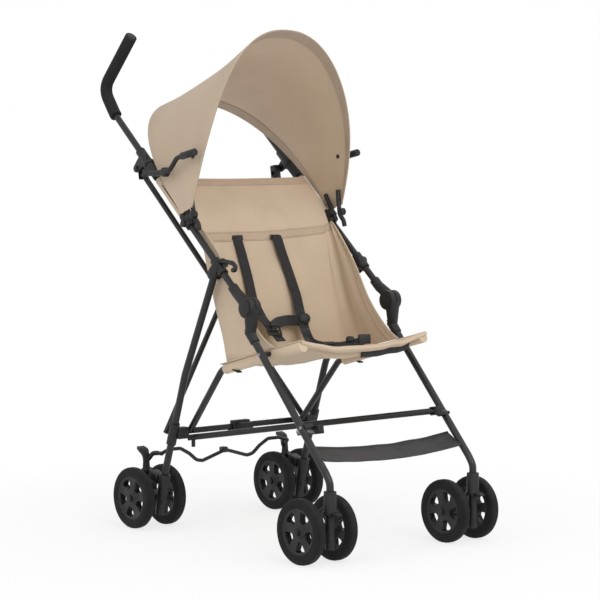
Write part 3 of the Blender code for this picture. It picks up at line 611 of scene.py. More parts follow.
def rounded_copy(name, material):
    """The solid's shape with its flat faces joined, its edges rounded and its curves smooth."""
    copy = bpy.data.objects.new(name, frame["nodes"][name].data.copy())
    bpy.context.scene.collection.objects.link(copy)
    only(copy)
    edit_all()
    bpy.ops.mesh.remove_doubles(threshold=0.00001)
    bpy.ops.mesh.dissolve_limited(angle_limit=math.radians(1.0))
    to_mode("OBJECT")
    finished([smooth(eased(copy, 0.0007, 2, 40), 42)], name, material)


for letter, _ in SIDES:
    for kind in MOULDINGS:
        rounded_copy(f"{kind}_{letter}", MOULDED)
    for kind in PAINTED:
        rounded_copy(f"{kind}_{letter}", PAINT)
rounded_copy("bar_lock", MOULDED)

# Tubes


def handle(side, letter):
    bends = [GRIP_TOP, GRIP_ELBOW, GRIP_LOW]
    path = rounded([*bends, along_handle(0.556)], 0.03, 8)
    start = path[0] + (path[1] - path[0]).normalized() * 0.004
    line = beside(side, [start, *path[1:]])
    finished([tube(line, HANDLE_R)], f"handle_tube_{letter}", PAINT)
    covered = beside(side, rounded([*bends, along_handle(0.006)], 0.034, 10))
    finished([tube(covered, GRIP_R, 10, 0.0022)], f"grip_{letter}", GRIP)
    up = (covered[0] - covered[1]).normalized()
    cap = bar(covered[0] - up * 0.001, covered[0] + up * 0.0006, 0.0085, 28, 0.0004)
    dressed(cap, f"grip_cap_{letter}", MOULDED, side_body(side))


def front_leg(side, letter):
    path = rounded([FRONT_LEG_TOP, FRONT_LEG_BEND, (STEM_Y, 0.16), (STEM_Y, 0.1253)], 0.06, 8)
    leg = tube(beside(side, path), LEG_R)
    stud = pin(side, SIDE_X, 0.1675, STUD, 0.0055)
    boss = pin(side, SIDE_X, 0.171, BAR_FRONT, 0.0065)
    node = f"front_leg_{letter}"
    finished([leg, stud, boss], node, PAINT)
    heads = [rivet(side, SIDE_X + 0.007, place, 0.0035, 0.0012) for place in (STUD, BAR_FRONT)]
    dressed(joined(heads), f"front_leg_rivets_{letter}", STEEL, body_of(node))


def rear_leg(side, letter):
    path = rounded([LEG_PIVOT, REAR_LEG_BEND, REAR_LEG_END], 0.12, 8)
    leg = tube(beside(side, path), LEG_R)
    top = pin(side, SIDE_X - 0.0062, SIDE_X + 0.0062, LEG_PIVOT, 0.007)
    finished([leg, top], f"rear_leg_{letter}", PAINT)


def crossing_tube(side, node, start, end, radius, past_end):
    """A tube from one side to the other, in a layer of its own so that it clears its mirror copy.

    start and end are a distance off the middle and a (y, z) place.
    """
    run = Vector((0, *(end[1] - start[1]))).normalized()
    shift = side * Vector((0, -run.z, run.y)) * LAYER
    first = at(side, *start) + shift
    last = at(-side, *end) + shift
    reach = (last - first).normalized()
    body = tube([first - reach * 0.0045, last + reach * past_end], radius, 8, 0.0012)
    finished([body], node, PAINT)


def brake_rod(side, letter):
    """Half of the wavy link rod, with its eye and, on the right, the clip in the middle."""
    wave = [
        (0.174, 0.156), (0.156, 0.163), (0.124, 0.163), (0.1, 0.15), (0.08, 0.134), (0.064, 0.131),
        (-0.001, 0.15),
    ]
    rod_y = 0.2574 if side < 0 else 0.263
    path = rounded([at(side, x, (rod_y, z)) for x, z in wave], 0.02, 6)
    rod = [tube(path, 0.004, 5)]
    rod.append(bar(at(side, 0.174, (0.2546, 0.156)), at(side, 0.174, (0.266, 0.156)), 0.0045, 16))
    if side < 0:
        rod.append(block(at(1, -0.004, (0.2596, 0.15)), (0.015, 0.015, 0.0125), (0, 0, 1), 0.0025))
    finished(rod, f"brake_rod_{letter}", PAINT)


for letter, side in SIDES:
    handle(side, letter)
    front_leg(side, letter)
    rear_leg(side, letter)
    crossing_tube(side, f"cross_tube_{letter}", (0.1875, CROSS_TOP), (0.188, CROSS_LOW), CROSS_R, 0.0)
    crossing_tube(side, f"lower_bar_{letter}", (0.161, BAR_FRONT), (0.146, BAR_REAR), LOWER_BAR_R, 0.011)
    brake_rod(side, letter)

# Wheels


def spun(half, steps):
    """A profile of (radius, along x) points up to its middle, mirrored and spun round the x axis."""
    profile = half + [(radius, -along) for radius, along in reversed(half)]
    deselect()
    bpy.ops.mesh.primitive_circle_add(vertices=len(profile), radius=0.01)
    made = bpy.context.object
    for vertex, (radius, along) in zip(made.data.vertices, profile):
        vertex.co = (along, 0, radius)
    edit_all()
    bpy.ops.mesh.spin(steps=steps, angle=2 * math.pi, center=(0, 0, 0), axis=(1, 0, 0), use_auto_merge=True)
    return outward(made, MERGE)


def tyre():
    """A foam tyre with a rounded tread, side shoulders and shallow tread marks."""
    made = spun(
        [
            (0.045, -0.008), (0.05, -0.0096), (0.0585, -0.0104), (0.0625, -0.0092),
            (0.0643, -0.0068), (0.065, -0.0036),
        ],
        72,
    )

    def marked(face):
        radius = math.hypot(face.center.y, face.center.z)
        turn = math.degrees(math.atan2(face.center.z, face.center.y)) % 360
        shoulder = 0.063 < radius < 0.0648 and 0.006 < abs(face.center.x) < 0.0085
        return shoulder and int(turn / 5) % 3 != (0 if face.center.x > 0 else 1)

    picked(made, marked)
    bpy.ops.mesh.inset(thickness=0.0004, depth=-0.0005, use_individual=False)
    to_mode("OBJECT")
    return smooth(made, 50)


def window(middle):
    """A cutter for one window between two spokes, at an angle round the wheel."""
    outline = []
    for radius, half, steps in ((0.0195, 0.24, (-3, 0, 3)), (0.0405, 0.37, (3, 2, 1, 0, -1, -2, -3))):
        turns = [middle + half * step / 3 for step in steps]
        outline += [(radius * math.cos(a), radius * math.sin(a)) for a in turns]
    deselect()
    bpy.ops.mesh.primitive_circle_add(vertices=len(outline), radius=0.01, fill_type="NGON")
    cutter = bpy.context.object
    for vertex, (y, z) in zip(cutter.data.vertices, outline):
        vertex.co = (-0.02, y, z)
    edit_all()
    bpy.ops.mesh.extrude_region_move(TRANSFORM_OT_translate={"value": (0.04, 0, 0)})
    return eased(outward(cutter), 0.0035, 3, 40)


def wheel_disc():
    """Rim, five broad spokes between rounded windows, and a hub with a raised boss."""
    made = spun(
        [
            (0.0044, -0.0094), (0.01, -0.0094), (0.0118, -0.0084), (0.0135, -0.007),
            (0.0405, -0.007), (0.042, -0.0078), (0.0456, -0.0086),
        ],
        60,
    )
    cutter = joined([window(2 * math.pi * i / 5 + math.pi / 2) for i in range(5)])
    applied(made, "BOOLEAN", operation="DIFFERENCE", object=cutter, solver="EXACT")
    bpy.data.objects.remove(cutter)
    return smooth(eased(made, 0.0006))


def wheels():
    tread = tyre()
    disc = wheel_disc()
    for letter, side in SIDES:
        for end, axle_y in AXLES:
            for place, offset in (("outer", PAIR_HALF), ("inner", -PAIR_HALF)):
                where = f"{end}_{place}_{letter}"
                body = body_of(f"wheel_{where}")
                turn = 0.25 * (axle_y > 0) + 0.5 * (offset > 0) + 0.35 * (side > 0)
                move = Matrix.Translation(at(side, SIDE_X + offset, (axle_y, WHEEL_R)))
                move = move @ Matrix.Rotation(turn, 4, "X")
                foam = bpy.data.objects.new("tyre", tread.data.copy())
                core = bpy.data.objects.new("disc", disc.data.copy())
                for piece in (foam, core):
                    bpy.context.scene.collection.objects.link(piece)
                    piece.data.transform(move)
                dressed(foam, f"tyre_{where}", TYRE, body)
                dressed(core, f"disc_{where}", HUB, body, [f"wheel_{where}"])
    bpy.data.objects.remove(tread)
    bpy.data.objects.remove(disc)


def axle_caps():
    """Domed caps on both ends of each axle."""
    for letter, side in SIDES:
        for (end, axle_y), carrier in zip(AXLES, ("caster", "rear_leg")):
            middle = at(side, SIDE_X, (axle_y, WHEEL_R))
            ways = [Vector((way, 0, 0)) for way in (-1, 1)]
            caps = [button(middle + way * AXLE_HALF, way, 0.007, 0.002) for way in ways]
            dressed(joined(caps), f"axle_caps_{end}_{letter}", MOULDED, f"{carrier}_{letter}")


wheels()
axle_caps()

# Hood

# Each bow: half width, foot and top as (y, z), how square its sides and its top are, bulge ahead
FRONT_BOW = (0.2055, (0.116, 0.684), (0.0598, 1.0518), 0.875, 0.896, 0.018)
REAR_BOW = (0.2035, (0.145, 0.6699), (0.3915, 0.9105), 0.87, 0.8, 0.0)
HOOD_SPLIT = 0.42
HOOD_COLUMNS = 72
HOOD_THICKNESS = 0.0014
HEM_THICKNESS = 0.0012
HEM_LIFT = -0.0018


def wobble(x, y, z):
    """Smooth noise at a place, the same in each run."""
    return noise.noise(Vector((x, y, z)))


def bow_point(turn, bow):
    """A point of a hood bow, from one foot (0) over its top to the other (pi)."""
    half_width, foot, apex, width_power, rise_power, bulge = bow
    x = half_width * math.copysign(abs(math.cos(turn)) ** width_power, math.cos(turn))
    foot, apex = Vector(foot), Vector(apex)
    ahead = Vector((foot.y - apex.y, apex.x - foot.x)).normalized()
    rise = max(math.sin(turn), 0.0) ** rise_power
    place = foot.lerp(apex, rise) + ahead * (bulge * math.sin(math.pi * rise))
    return Vector((x, place.x + FRAME_Y, place.y))


def hood_point(across, back):
    """A point of the hood cloth, across it (-1 to 1) and from its front edge (0) to its rear hem (1)."""
    turn = math.pi * (across + 1) / 2
    front = bow_point(turn, FRONT_BOW)
    front.y += -0.0095 * (1 - back)
    point = front.lerp(bow_point(turn, REAR_BOW), back)
    lift = max(math.sin(turn), 0.0)
    stretch = math.sin(math.pi * back)
    point.z -= 0.016 * stretch * lift**1.5
    ripple = wobble(across * 3.1, back * 2.3, 0.7)
    pull = wobble(across * 11.0, back * 1.3, 5.2) * (1 - lift) ** 1.2
    point.y += 0.005 * ripple * stretch
    point.z += 0.003 * ripple * stretch
    point.x += math.copysign(0.0035, point.x) * pull * stretch
    return point


def hood_normal(across, back):
    step = 0.004
    side_way = hood_point(min(across + step, 1), back) - hood_point(max(across - step, -1), back)
    back_way = hood_point(across, min(back + step, 1)) - hood_point(across, max(back - step, 0))
    return back_way.cross(side_way).normalized()


def hood_strip(start, end, height, rows, thickness):
    """A strip of the hood from one line back to another, standing off its surface."""

    def place(u, v):
        u = max(min(u, 0.9999), -0.9999)
        back = start + (end - start) * (v + 1) / 2
        return hood_point(u, back) + hood_normal(u, back) * height

    return cloth(HOOD_COLUMNS, rows, place, thickness, lined=True)


def crumpled(piece):
    """The piece given a mesh of its own."""
    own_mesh(piece)
    return piece


def hood():
    front = hood_strip(0.0, HOOD_SPLIT, 0.0, 16, HOOD_THICKNESS)
    rear = hood_strip(HOOD_SPLIT, 1.0, 0.0, 20, HOOD_THICKNESS)
    for shell in (front, rear):
        shell.data.materials.append(HOOD)
        shell.data.materials.append(LINING)
    dressed(front, "hood_cloth_front", None, "hood_bow", ["canopy"])
    dressed(rear, "hood_cloth_rear", None, "right_frame")
    band = hood_strip(0.0, 0.07, HEM_LIFT, 6, HEM_THICKNESS)
    dressed(band, "hood_bow_sleeve", HEM, "hood_bow", ["hood_bow"])
    hem = hood_strip(0.905, 1.0, HEM_LIFT, 6, HEM_THICKNESS)
    dressed(hem, "hood_rear_hem", HEM, "right_frame")
    for piece in (front, rear, band, hem):
        crumpled(piece)


hood()

# Seat

# Rows of the back from its top hem down: y and z of its side edge and of its wing's edge, half width, sag
BACK_ROWS = [
    (0.2235, 0.7465, 0.2225, 0.7455, 0.1915, 0.009),
    (0.185, 0.712, 0.1835, 0.71, 0.1915, 0.018),
    (0.14, 0.664, 0.136, 0.66, 0.19, 0.028),
    (0.118, 0.62, 0.092, 0.63, 0.18, 0.034),
    (0.104, 0.56, 0.033, 0.564, 0.176, 0.03),
    (0.085, 0.48, -0.02, 0.485, 0.173, 0.023),
    (0.066, 0.41, -0.076, 0.43, 0.171, 0.015),
    (0.052, 0.364, -0.115, 0.408, 0.17, 0.008),
]
RAIL_SLOPE = (RAIL_FRONT.y - RAIL_BEND.y) / (RAIL_FRONT.x - RAIL_BEND.x)
WING_START = 0.62
WING_SHARE = 0.38


def between(values, share):
    """A smooth value between the numbers of a row, at a share from 0 to 1."""
    place = max(0.0, min(1.0, share)) * (len(values) - 1)
    i = min(int(place), len(values) - 2)
    t = place - i
    row = [values[max(i - 1, 0)], values[i], values[i + 1], values[min(i + 2, len(values) - 1)]]
    weights = (
        0.5 * (-t + 2 * t * t - t**3),
        0.5 * (2 - 5 * t * t + 3 * t**3),
        0.5 * (t + 4 * t * t - 3 * t**3),
        0.5 * (t**3 - t * t),
    )
    return sum(w * v for w, v in zip(weights, row))


def ridge(offset, width):
    """A smooth bump of height 1 where the offset is zero."""
    return math.exp(-((offset / width) ** 2))


def back_point(across, share, height=0.0):
    """A point of the seat's back and wings, across it (-1 to 1) and down it (0 to 1)."""
    side_y, side_z, wing_y, wing_z, half, sag = (between(column, share) for column in zip(*BACK_ROWS))
    s = abs(across)
    fold = wobble(across * 3.4, share * 4.6, 3.3)
    fold += 0.6 * wobble(across * 7.5, share * 3.0, 8.1)
    fold *= 0.0085 * min(1.0, 6 * share + 0.15) * min(1.0, 6 * (1 - share)) * (1 - s**6)
    fold += 0.0045 * ridge(across + 0.14 - 0.1 * share, 0.07) * math.sin(math.pi * min(1.0, share / 0.4))
    low_half = max(0.0, min(1.0, (share - 0.4) / 0.6))
    fold -= 0.005 * ridge(across - 0.62, 0.09) * math.sin(math.pi * low_half)
    hang = 0.006 * (1 - s * s) * max(0.0, 1 - share / 0.25)
    if s <= WING_START:
        t = s / WING_START
        point = Vector((0.92 * half * t, side_y + sag * (1 - t**2.4) + fold - height, side_z))
    else:
        t = (s - WING_START) / WING_SHARE
        corner_y = side_y * 0.86 + wing_y * 0.14
        y = (1 - t) ** 2 * side_y + 2 * t * (1 - t) * corner_y + t * t * wing_y
        x = (1 - t) ** 2 * 0.92 * half + 2 * t * (1 - t) * (half + 0.003) + t * t * half
        pucker = 0.009 * wobble(t * 5.0, share * 2.4, 1.7 + across) * math.sin(math.pi * t)
        z = side_z + (wing_z - side_z) * t**1.5
        point = Vector((x + pucker - height * min(1.0, 2 * t), y + fold - height * max(0.0, 1 - 2 * t), z))
    point.x = math.copysign(point.x, across)
    point.y += FRAME_Y
    point.z -= hang
    return point


def back_at(x, z, lift):
    """The point of the back at a distance off the middle and a height, with a lift off the cloth."""
    across = x / 0.27
    low, high = 0.05, 0.95
    for _ in range(30):
        middle = (low + high) / 2
        if back_point(across, middle).z > z:
            low = middle
        else:
            high = middle
    spot = back_point(across, low)
    return Vector((x, spot.y - lift, z))


def base_point(across, share):
    """A point of the seat's base, across it (-1 to 1) and from its rear (0) to its front edge (1)."""
    y = 0.06 - 0.256 * share
    sag = (0.011 + 0.01 * share * share) * (1 - across * across)
    fold = 0.004 * wobble(across * 4.0, share * 4.0, 6.6) * (1 - across**4)
    z = RAIL_BEND.y + RAIL_SLOPE * (y - RAIL_BEND.x) + 0.0105 - sag + fold
    return Vector((across * 0.169, y + FRAME_Y, z))


def front_band(across, share):
    """The folded band that closes the front edge of the base and hangs a little below it."""
    middle = 1 - across * across
    drop = 0.008 + 0.0045 * middle
    bend = Vector((0, -0.005 * math.sin(math.pi * min(1.0, share * 1.1)), -drop * share))
    point = base_point(across, 1.0) + bend
    point.y += 0.0035 * share * middle
    point.z += 0.0012 * wobble(across * 6.0, share, 2.2) * share
    return point


def band_lining(across, share):
    """The underside of the base where it shows below the front band."""
    middle = 1 - across * across
    drop = 0.005 + 0.005 * middle + 0.014 * ridge(across + 0.35, 0.45) * middle
    point = base_point(across, 1.0) + Vector((0, 0.013 + 0.004 * share, -0.004 - drop * share))
    point.z += 0.001 * wobble(across * 5.0, share, 7.2)
    return point


def painted_shade_underside(across, share):
    """The seat cloth's underside below the front band on the left half, its dark webbing colour painted shade
    where that underside lies in shadow.
    """
    return base_point(across, 0.955) + Vector((0, 0.004 * share, -0.011 - 0.0125 * share))


def slot_band(across, share, height):
    """The stitched band across the back that the shoulder straps come out of."""
    slope = 0.016 * (1 - across * across) - 0.06 * max(0.0, across) ** 1.6
    return back_point(across, share + slope, height)


def spread(surface, columns, rows, thickness):
    """A sheet of cloth over the whole of a surface."""
    return cloth(columns, rows, lambda u, v: surface(u, (v + 1) / 2), thickness)


def laid_strip(surface, across, share, columns, rows, thickness=HEM_THICKNESS, **lift):
    """A strip of cloth between two shares across and two shares along a surface."""

    def spot(u, v):
        a = across[0] + (across[1] - across[0]) * (u + 1) / 2
        b = share[0] + (share[1] - share[0]) * (v + 1) / 2
        return surface(a, b, **lift)

    return cloth(columns, rows, spot, thickness)


def sewn(piece, name, material, stands_for=()):
    """A piece of the seat, carried by the right side frame, with a mesh of its own."""
    return crumpled(dressed(piece, name, material, "right_frame", stands_for))


def seat():
    back = sewn(spread(back_point, 72, 84, 0.0016), "seat_back", SEAT, ["seat_sling"])
    base = sewn(spread(base_point, 40, 48, 0.0018), "seat_base", SEAT)
    sewn(spread(front_band, 60, 16, 0.0016), "seat_front_band", SEAT)
    sewn(spread(band_lining, 60, 8, 0.0014), "seat_under_band", SEAT)
    # Painted shade: a sheet in the dark webbing colour where the cloth below the front band lies in shadow
    shade_strip = laid_strip(painted_shade_underside, (0.02, 0.8), (0.0, 1.0), 30, 6, 0.0016)
    sewn(shade_strip, "seat_underside_painted_shade", WEBBING)
    hem = laid_strip(back_point, (-0.97, 0.97), (0.0, 0.075), 60, 5, height=0.0014)
    sewn(hem, "seat_top_hem", HEM_SEAT)
    flap = laid_strip(slot_band, (-0.7, 0.8), (0.385, 0.44), 70, 6, height=0.002)
    sewn(flap, "seat_slot_band", HEM_SEAT)
    seams = [seam([back_point(-0.96 + 1.92 * i / 40, 0.078, 0.0014) for i in range(41)])]
    for share in (0.392, 0.433):
        seams.append(seam([slot_band(-0.69 + 1.48 * i / 40, share, 0.0028) for i in range(41)]))
    for i in (-1, 1):
        for inset in (0.96, 0.985):
            seams.append(seam([back_point(i * inset, 0.32 + 0.66 * k / 40, 0.0024) for k in range(41)]))
    sewn(joined(seams), "seat_stitching", THREAD)
    for letter, side in SIDES:
        edge = laid_strip(back_point, (side * 0.955, side * 1.0), (0.3, 0.995), 5, 50, height=0.0012)
        sewn(edge, f"seat_wing_binding_{letter}", SEAT)
        sleeve = tube([at(side, 0.16, along_rail(t)) for t in (0.06, 0.3, 0.6, 1.03)], 0.0108, 7, 0.0015)
        for vertex in sleeve.data.vertices:
            vertex.co.z -= 0.0016
            lump = noise.noise(vertex.co * 55.0)
            vertex.co.z += 0.0013 * lump
            vertex.co.x += side * (0.0025 + 0.001 * lump)
        sewn(sleeve, f"seat_rail_sleeve_{letter}", SEAT)
        rest = along_rail(0.22)
        place = at(side, 0.166, (rest.x, rest.y - 0.0125))
        snap = block(place, (0.012, 0.02, 0.0032), (0, -0.25, 1), 0.0012)
        sewn(snap, f"seat_snap_{letter}", MOULDED)
        spot = along_rail(0.62)
        tab = button(at(side, 0.1745, (spot.x, spot.y - 0.004)), (side, 0, -0.1), 0.006, 0.0016)
        sewn(tab, f"seat_tab_{letter}", HEM_SEAT)


seat()

# Harness

SHOULDER_WIDTH = 0.0255
WEB_THICKNESS = 0.0017


def shifted(x, y, z):
    """A point from its distance to the right (below 0) or left, and its (y, z) place."""
    return Vector((x, y, z)) + Vector((0, FRAME_Y, 0))


def slider(centre, up, ahead, width, height):
    """A ladder slider made of round bars, three across and two along."""
    across = up.cross(ahead).normalized()
    bars = []
    for line, length, aside, reach, offsets in (
        (across, width, up, height, (-0.5, 0.0, 0.5)),
        (up, height, across, width, (-0.5, 0.5)),
    ):
        for offset in offsets:
            spot = centre + aside * (offset * reach)
            bars.append(tube([spot - line * length / 2, spot + line * length / 2], 0.0019, 3, 0.0005))
    return joined(bars)


def harness_strap(name, starts, points, radius, width, thickness, side_way):
    """A strap that starts at places on the seat back, if any, and runs on through points."""
    line = rounded([back_at(*start) for start in starts] + [shifted(*point) for point in points], radius, 3)
    piece = dressed(strap(line, width, thickness, side_way), name, WEBBING, "right_frame")
    crumpled(piece)


def harness():
    near = [
        (-0.048, 0.12, 0.538), (-0.05, 0.099, 0.486), (-0.046, 0.073, 0.45), (-0.04, 0.045, 0.424),
        (-0.034, 0.025, 0.404),
    ]
    far = [
        (0.067, 0.119, 0.535), (0.068, 0.098, 0.493), (0.061, 0.078, 0.46), (0.056, 0.064, 0.442),
        (0.047, 0.044, 0.422), (0.037, 0.02, 0.405), (0.028, -0.01, 0.393), (0.026, -0.04, 0.389),
    ]
    waist = [
        (-0.042, 0.048, 0.433), (-0.015, 0.062, 0.44), (0.02, 0.068, 0.443), (0.056, 0.06, 0.44),
    ]
    crotch = [
        (0.04, 0.03, 0.409), (0.033, -0.005, 0.396), (0.035, -0.036, 0.392), (0.056, -0.062, 0.394),
        (0.08, -0.08, 0.401), (0.096, -0.093, 0.408),
    ]
    starts = ((-0.058, 0.619, 0.005), (-0.052, 0.585, 0.007))
    harness_strap("shoulder_strap_near", starts, near, 0.05, SHOULDER_WIDTH, WEB_THICKNESS, (1, 0.1, 0))
    starts = ((0.052, 0.619, 0.0062), (0.057, 0.583, 0.008))
    harness_strap("shoulder_strap_far", starts, far, 0.05, SHOULDER_WIDTH, WEB_THICKNESS, (1, 0.05, 0.05))
    harness_strap("waist_strap", (), waist, 0.05, 0.023, WEB_THICKNESS, (0, 0.35, 1))
    harness_strap("crotch_strap", (), crotch, 0.04, 0.025, 0.0018, (0.55, 0.55, 0.63))
    centre = shifted(-0.042, 0.04, 0.426)
    parts = [
        slider(centre, Vector((0.12, 0.55, 0.8)).normalized(), Vector((0, -0.8, 0.55)), 0.033, 0.023),
        button(shifted(0.058, 0.06, 0.444), (-0.35, -0.85, 0.25), 0.012, 0.0055),
        block(shifted(0.056, 0.062, 0.441), (0.023, 0.006, 0.026), (0.1, 0.35, 1), 0.0025),
        block(shifted(0.042, -0.03, 0.396), (0.03, 0.03, 0.009), (0.1, 0.25, 1), 0.0035),
        block(shifted(0.078, -0.065, 0.406), (0.018, 0.02, 0.015), (0.2, 0.2, 1), 0.0055),
        block(shifted(0.095, -0.09, 0.409), (0.027, 0.006, 0.02), (0.1, 0.2, 1), 0.0025),
    ]
    crumpled(dressed(joined(parts), "harness_buckle", MOULDED, "right_frame", ["harness"]))
    slots = []
    for x, z in ((-0.058, 0.618), (0.052, 0.617)):
        slots.append(block(back_at(x, z - 0.001, 0.0046), (0.0325, 0.0026, 0.011), (0, 0.3, 1), 0.0011))
    crumpled(dressed(joined(slots), "strap_slots", WEBBING, "right_frame"))


harness()

# Calf strap


def calf_strap():
    def place(u, v):
        t = (v + 1) / 2
        sag = 0.011 * (1 - u * u)
        ripple = 0.0012 * wobble(u * 4.0, t * 2.0, 9.0)
        return at(1, u * 0.184, (-0.247 - 0.04 * t - 0.3 * sag, 0.222 - 0.023 * t - sag + ripple))

    web = cloth(48, 12, place, 0.0022)
    dressed(web, "calf_strap", CALF, "front_leg_r", ["footrest_strap"])
    edges = []
    for v in (-0.97, 0.97):
        edges.append(tube([place(-1 + 2 * i / 24, v) + Vector((0, 0, 0.0006)) for i in range(25)], 0.0019, 2))
    piping = dressed(joined(edges), "calf_strap_piping", CALF, "front_leg_r")
    for piece in (web, piping):
        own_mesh(piece)


calf_strap()

# Hood fittings


def hood_fittings():
    """Cloth sleeves on the handle tubes, with the clamps and the short straps that hold the hood's feet."""
    end = [(0.1975, 0.153, 0.705), (0.1965, 0.134, 0.679), (0.196, 0.115, 0.65)]
    hook = [
        (0.2, 0.1145, 0.716), (0.2, 0.112, 0.688), (0.1985, 0.106, 0.663), (0.1985, 0.094, 0.65),
        (0.1985, 0.09, 0.638),
    ]
    knob = (0.105, 0.669)
    for letter, side in SIDES:
        body = side_body(side)
        line = beside(side, [along_handle(0.214 + 0.108 * i / 8) for i in range(9)])
        sleeve = tube(line, 0.0098, 8, 0.001)
        for vertex in sleeve.data.vertices:
            lump = noise.noise(vertex.co * 40.0)
            vertex.co.x += side * 0.0012 * lump
            vertex.co.z += 0.0008 * lump
        dressed(sleeve, f"hood_tube_sleeve_{letter}", HOOD, body)
        line = beside(side, [along_handle(0.236 + 0.076 * i / 5, 0.005) for i in range(6)], SIDE_X + 0.009)
        dressed(tube(line, 0.001, 2), f"sleeve_slit_{letter}", MOULDED, body)
        clamp = [
            bar(*beside(side, [along_handle(0.326), along_handle(0.36)]), 0.0112, 28, 0.0012),
            block(at(side, SIDE_X, along_handle(0.343, 0.01)), (0.018, 0.02, 0.016), (0, *TUBE_DIR), 0.002),
            pin(side, SIDE_X, 0.204, HOOD_PIVOT, 0.008, 24, 0.0008),
            tube(spots(side, end), FITTING_R, 5, 0.0012),
        ]
        dressed(joined(clamp), f"hood_clamp_{letter}", MOULDED, body)
        foot = [
            rivet(side, 0.205, knob, 0.008, 0.0035),
            pin(side, 0.196, 0.2052, knob, 0.0078, 24, 0.0012),
            tube(rounded(spots(side, hook), 0.01, 4), FITTING_R, 5, 0.0012),
            pin(side, 0.195, 0.2078, HOOD_PIVOT, 0.0075, 24, 0.001),
        ]
        crumpled(dressed(joined(foot), f"hood_foot_{letter}", MOULDED, "hood_bow"))


def hood_stays():
    """The two links of each stay, the front one curved up to a sleeved end."""
    rear_line = [STAY_PIVOT, (0.215, 0.753), STAY_ELBOW]
    front_line = [STAY_ELBOW, (0.162, 0.759), (0.148, 0.772), (0.136, 0.785), STAY_FRONT, (0.096, 0.793)]
    for letter, side in SIDES:
        rear = [
            tube(beside(side, rear_line, REAR_STAY_X), 0.0064, 6),
            pin(side, 0.2125, 0.2215, STAY_PIVOT, 0.0088, 28, 0.0014),
            pin(side, 0.2125, 0.2185, STAY_ELBOW, 0.01, 28, 0.0014),
        ]
        finished(rear, f"hood_stay_rear_{letter}", MOULDED)
        front = [
            tube(rounded(beside(side, front_line, FRONT_STAY_X), 0.02, 5), 0.005, 6),
            pin(side, 0.2187, 0.225, STAY_ELBOW, 0.0098, 28, 0.0014),
            tube(beside(side, [(0.118, 0.789), (0.074, 0.7975)], FRONT_STAY_X), 0.0076, 7, 0.0022),
        ]
        finished(front, f"hood_stay_front_{letter}", MOULDED)
        fixing = [
            pin(side, 0.1985, 0.215, STAY_FRONT, 0.003, 16, 0.0004),
            rivet(side, 0.1995, STAY_FRONT, 0.0062, 0.0026, -1),
        ]
        crumpled(dressed(joined(fixing), f"hood_rivet_{letter}", MOULDED, "hood_bow"))


def folding_hinge():
    """A thick drum in two halves, with a socket for the handle tube and a tapered one for the front leg."""
    run = (FRONT_LEG_BEND - FRONT_LEG_TOP).normalized()
    hub = HINGE + Vector((0.006, 0.0))
    for letter, side in SIDES:
        socket = beside(side, [along_handle(distance) for distance in (0.54, 0.566, 0.558)])
        leg = beside(side, [FRONT_LEG_TOP + run * distance for distance in (0.014, 0.006, 0.036)])
        upper = [
            pin(side, SIDE_X - 0.0017, SIDE_X + 0.012, hub, 0.0212, 56, 0.003),
            rivet(side, SIDE_X + 0.0115, hub, 0.017, 0.0024),
            rivet(side, SIDE_X + 0.0131, hub, 0.004, 0.0014),
            bar(socket[0], socket[1], 0.0106, 32, 0.0012),
            taper(socket[2], at(side, SIDE_X + 0.003, HINGE), 0.0108, 0.013),
        ]
        finished(upper, f"hinge_upper_{letter}", MOULDED)
        lower = [
            pin(side, SIDE_X - 0.0165, SIDE_X - 0.0023, hub, 0.0208, 56, 0.003),
            rivet(side, SIDE_X - 0.016, hub, 0.0165, 0.0024, -1),
            rivet(side, SIDE_X - 0.0176, hub, 0.0045, 0.0016, -1),
            taper(at(side, SIDE_X - 0.002, HINGE), leg[0], 0.0165, 0.0102),
            taper(leg[1], leg[2], 0.0106, 0.0098),
        ]
        finished(lower, f"hinge_lower_{letter}", MOULDED)


def brake_pedals():
    """A horn-shaped foot lever that curls back at its top, with the ear for the link rod."""
    # From the foot of the lever to its tip: y, z and half width
    rows = [
        (0.281, 0.108, 0.0095), (0.286, 0.125, 0.008), (0.287, 0.141, 0.0068),
        (0.289, 0.152, 0.0085), (0.296, 0.161, 0.0112), (0.308, 0.166, 0.0085),
    ]
    ear = [(0.189, 0.288, 0.14), (0.18, 0.28, 0.155), (0.174, 0.269, 0.156)]
    for letter, side in SIDES:

        def place(u, v):
            y, z, half = (between(column, (v + 1) / 2) for column in zip(*rows))
            return at(side, SIDE_X + u * half, (y + 0.002 * u * u, z))

        parts = [
            smooth(eased(outward(cloth(8, 24, place, 0.0075)), 0.0022, 3)),
            pin(side, SIDE_X - 0.011, SIDE_X + 0.011, (0.284, 0.118), 0.0072),
            tube(rounded(spots(side, ear), 0.008, 4), FITTING_R, 6, 0.001),
        ]
        finished(parts, f"brake_pedal_{letter}", MOULDED)


def carry_hook():
    """The open hook for carrying the folded stroller, on the right side only."""
    line = [
        (0.042, 0.573), (0.005, 0.575), (-0.013, 0.573), (-0.022, 0.566), (-0.02, 0.559),
        (-0.012, 0.559),
    ]
    hook = tube(rounded(beside(-1, line), 0.008, 5), 0.0047, 6, 0.001)
    dressed(hook, "carry_hook", MOULDED, "right_frame")


def lock_housing():
    """The moulded housing round the middle of the rear crossbar, behind the foot latch."""
    parts = [block(at(1, 0.0, (0.2068, 0.2085)), (0.046, 0.015, 0.023), (0, 0, 1), 0.0025)]
    for side in (-1, 1):
        parts.append(block(at(side, 0.025, (0.205, 0.1975)), (0.016, 0.009, 0.011), (0, 0, 1), 0.002))
    dressed(joined(parts), "rear_lock_housing", MOULDED, body_of("rear_bar_r"))


hood_fittings()
hood_stays()
lock_housing()
folding_hinge()
brake_pedals()
carry_hook()

# Stage, light and camera

WHITE = (1, 1, 1, 1)


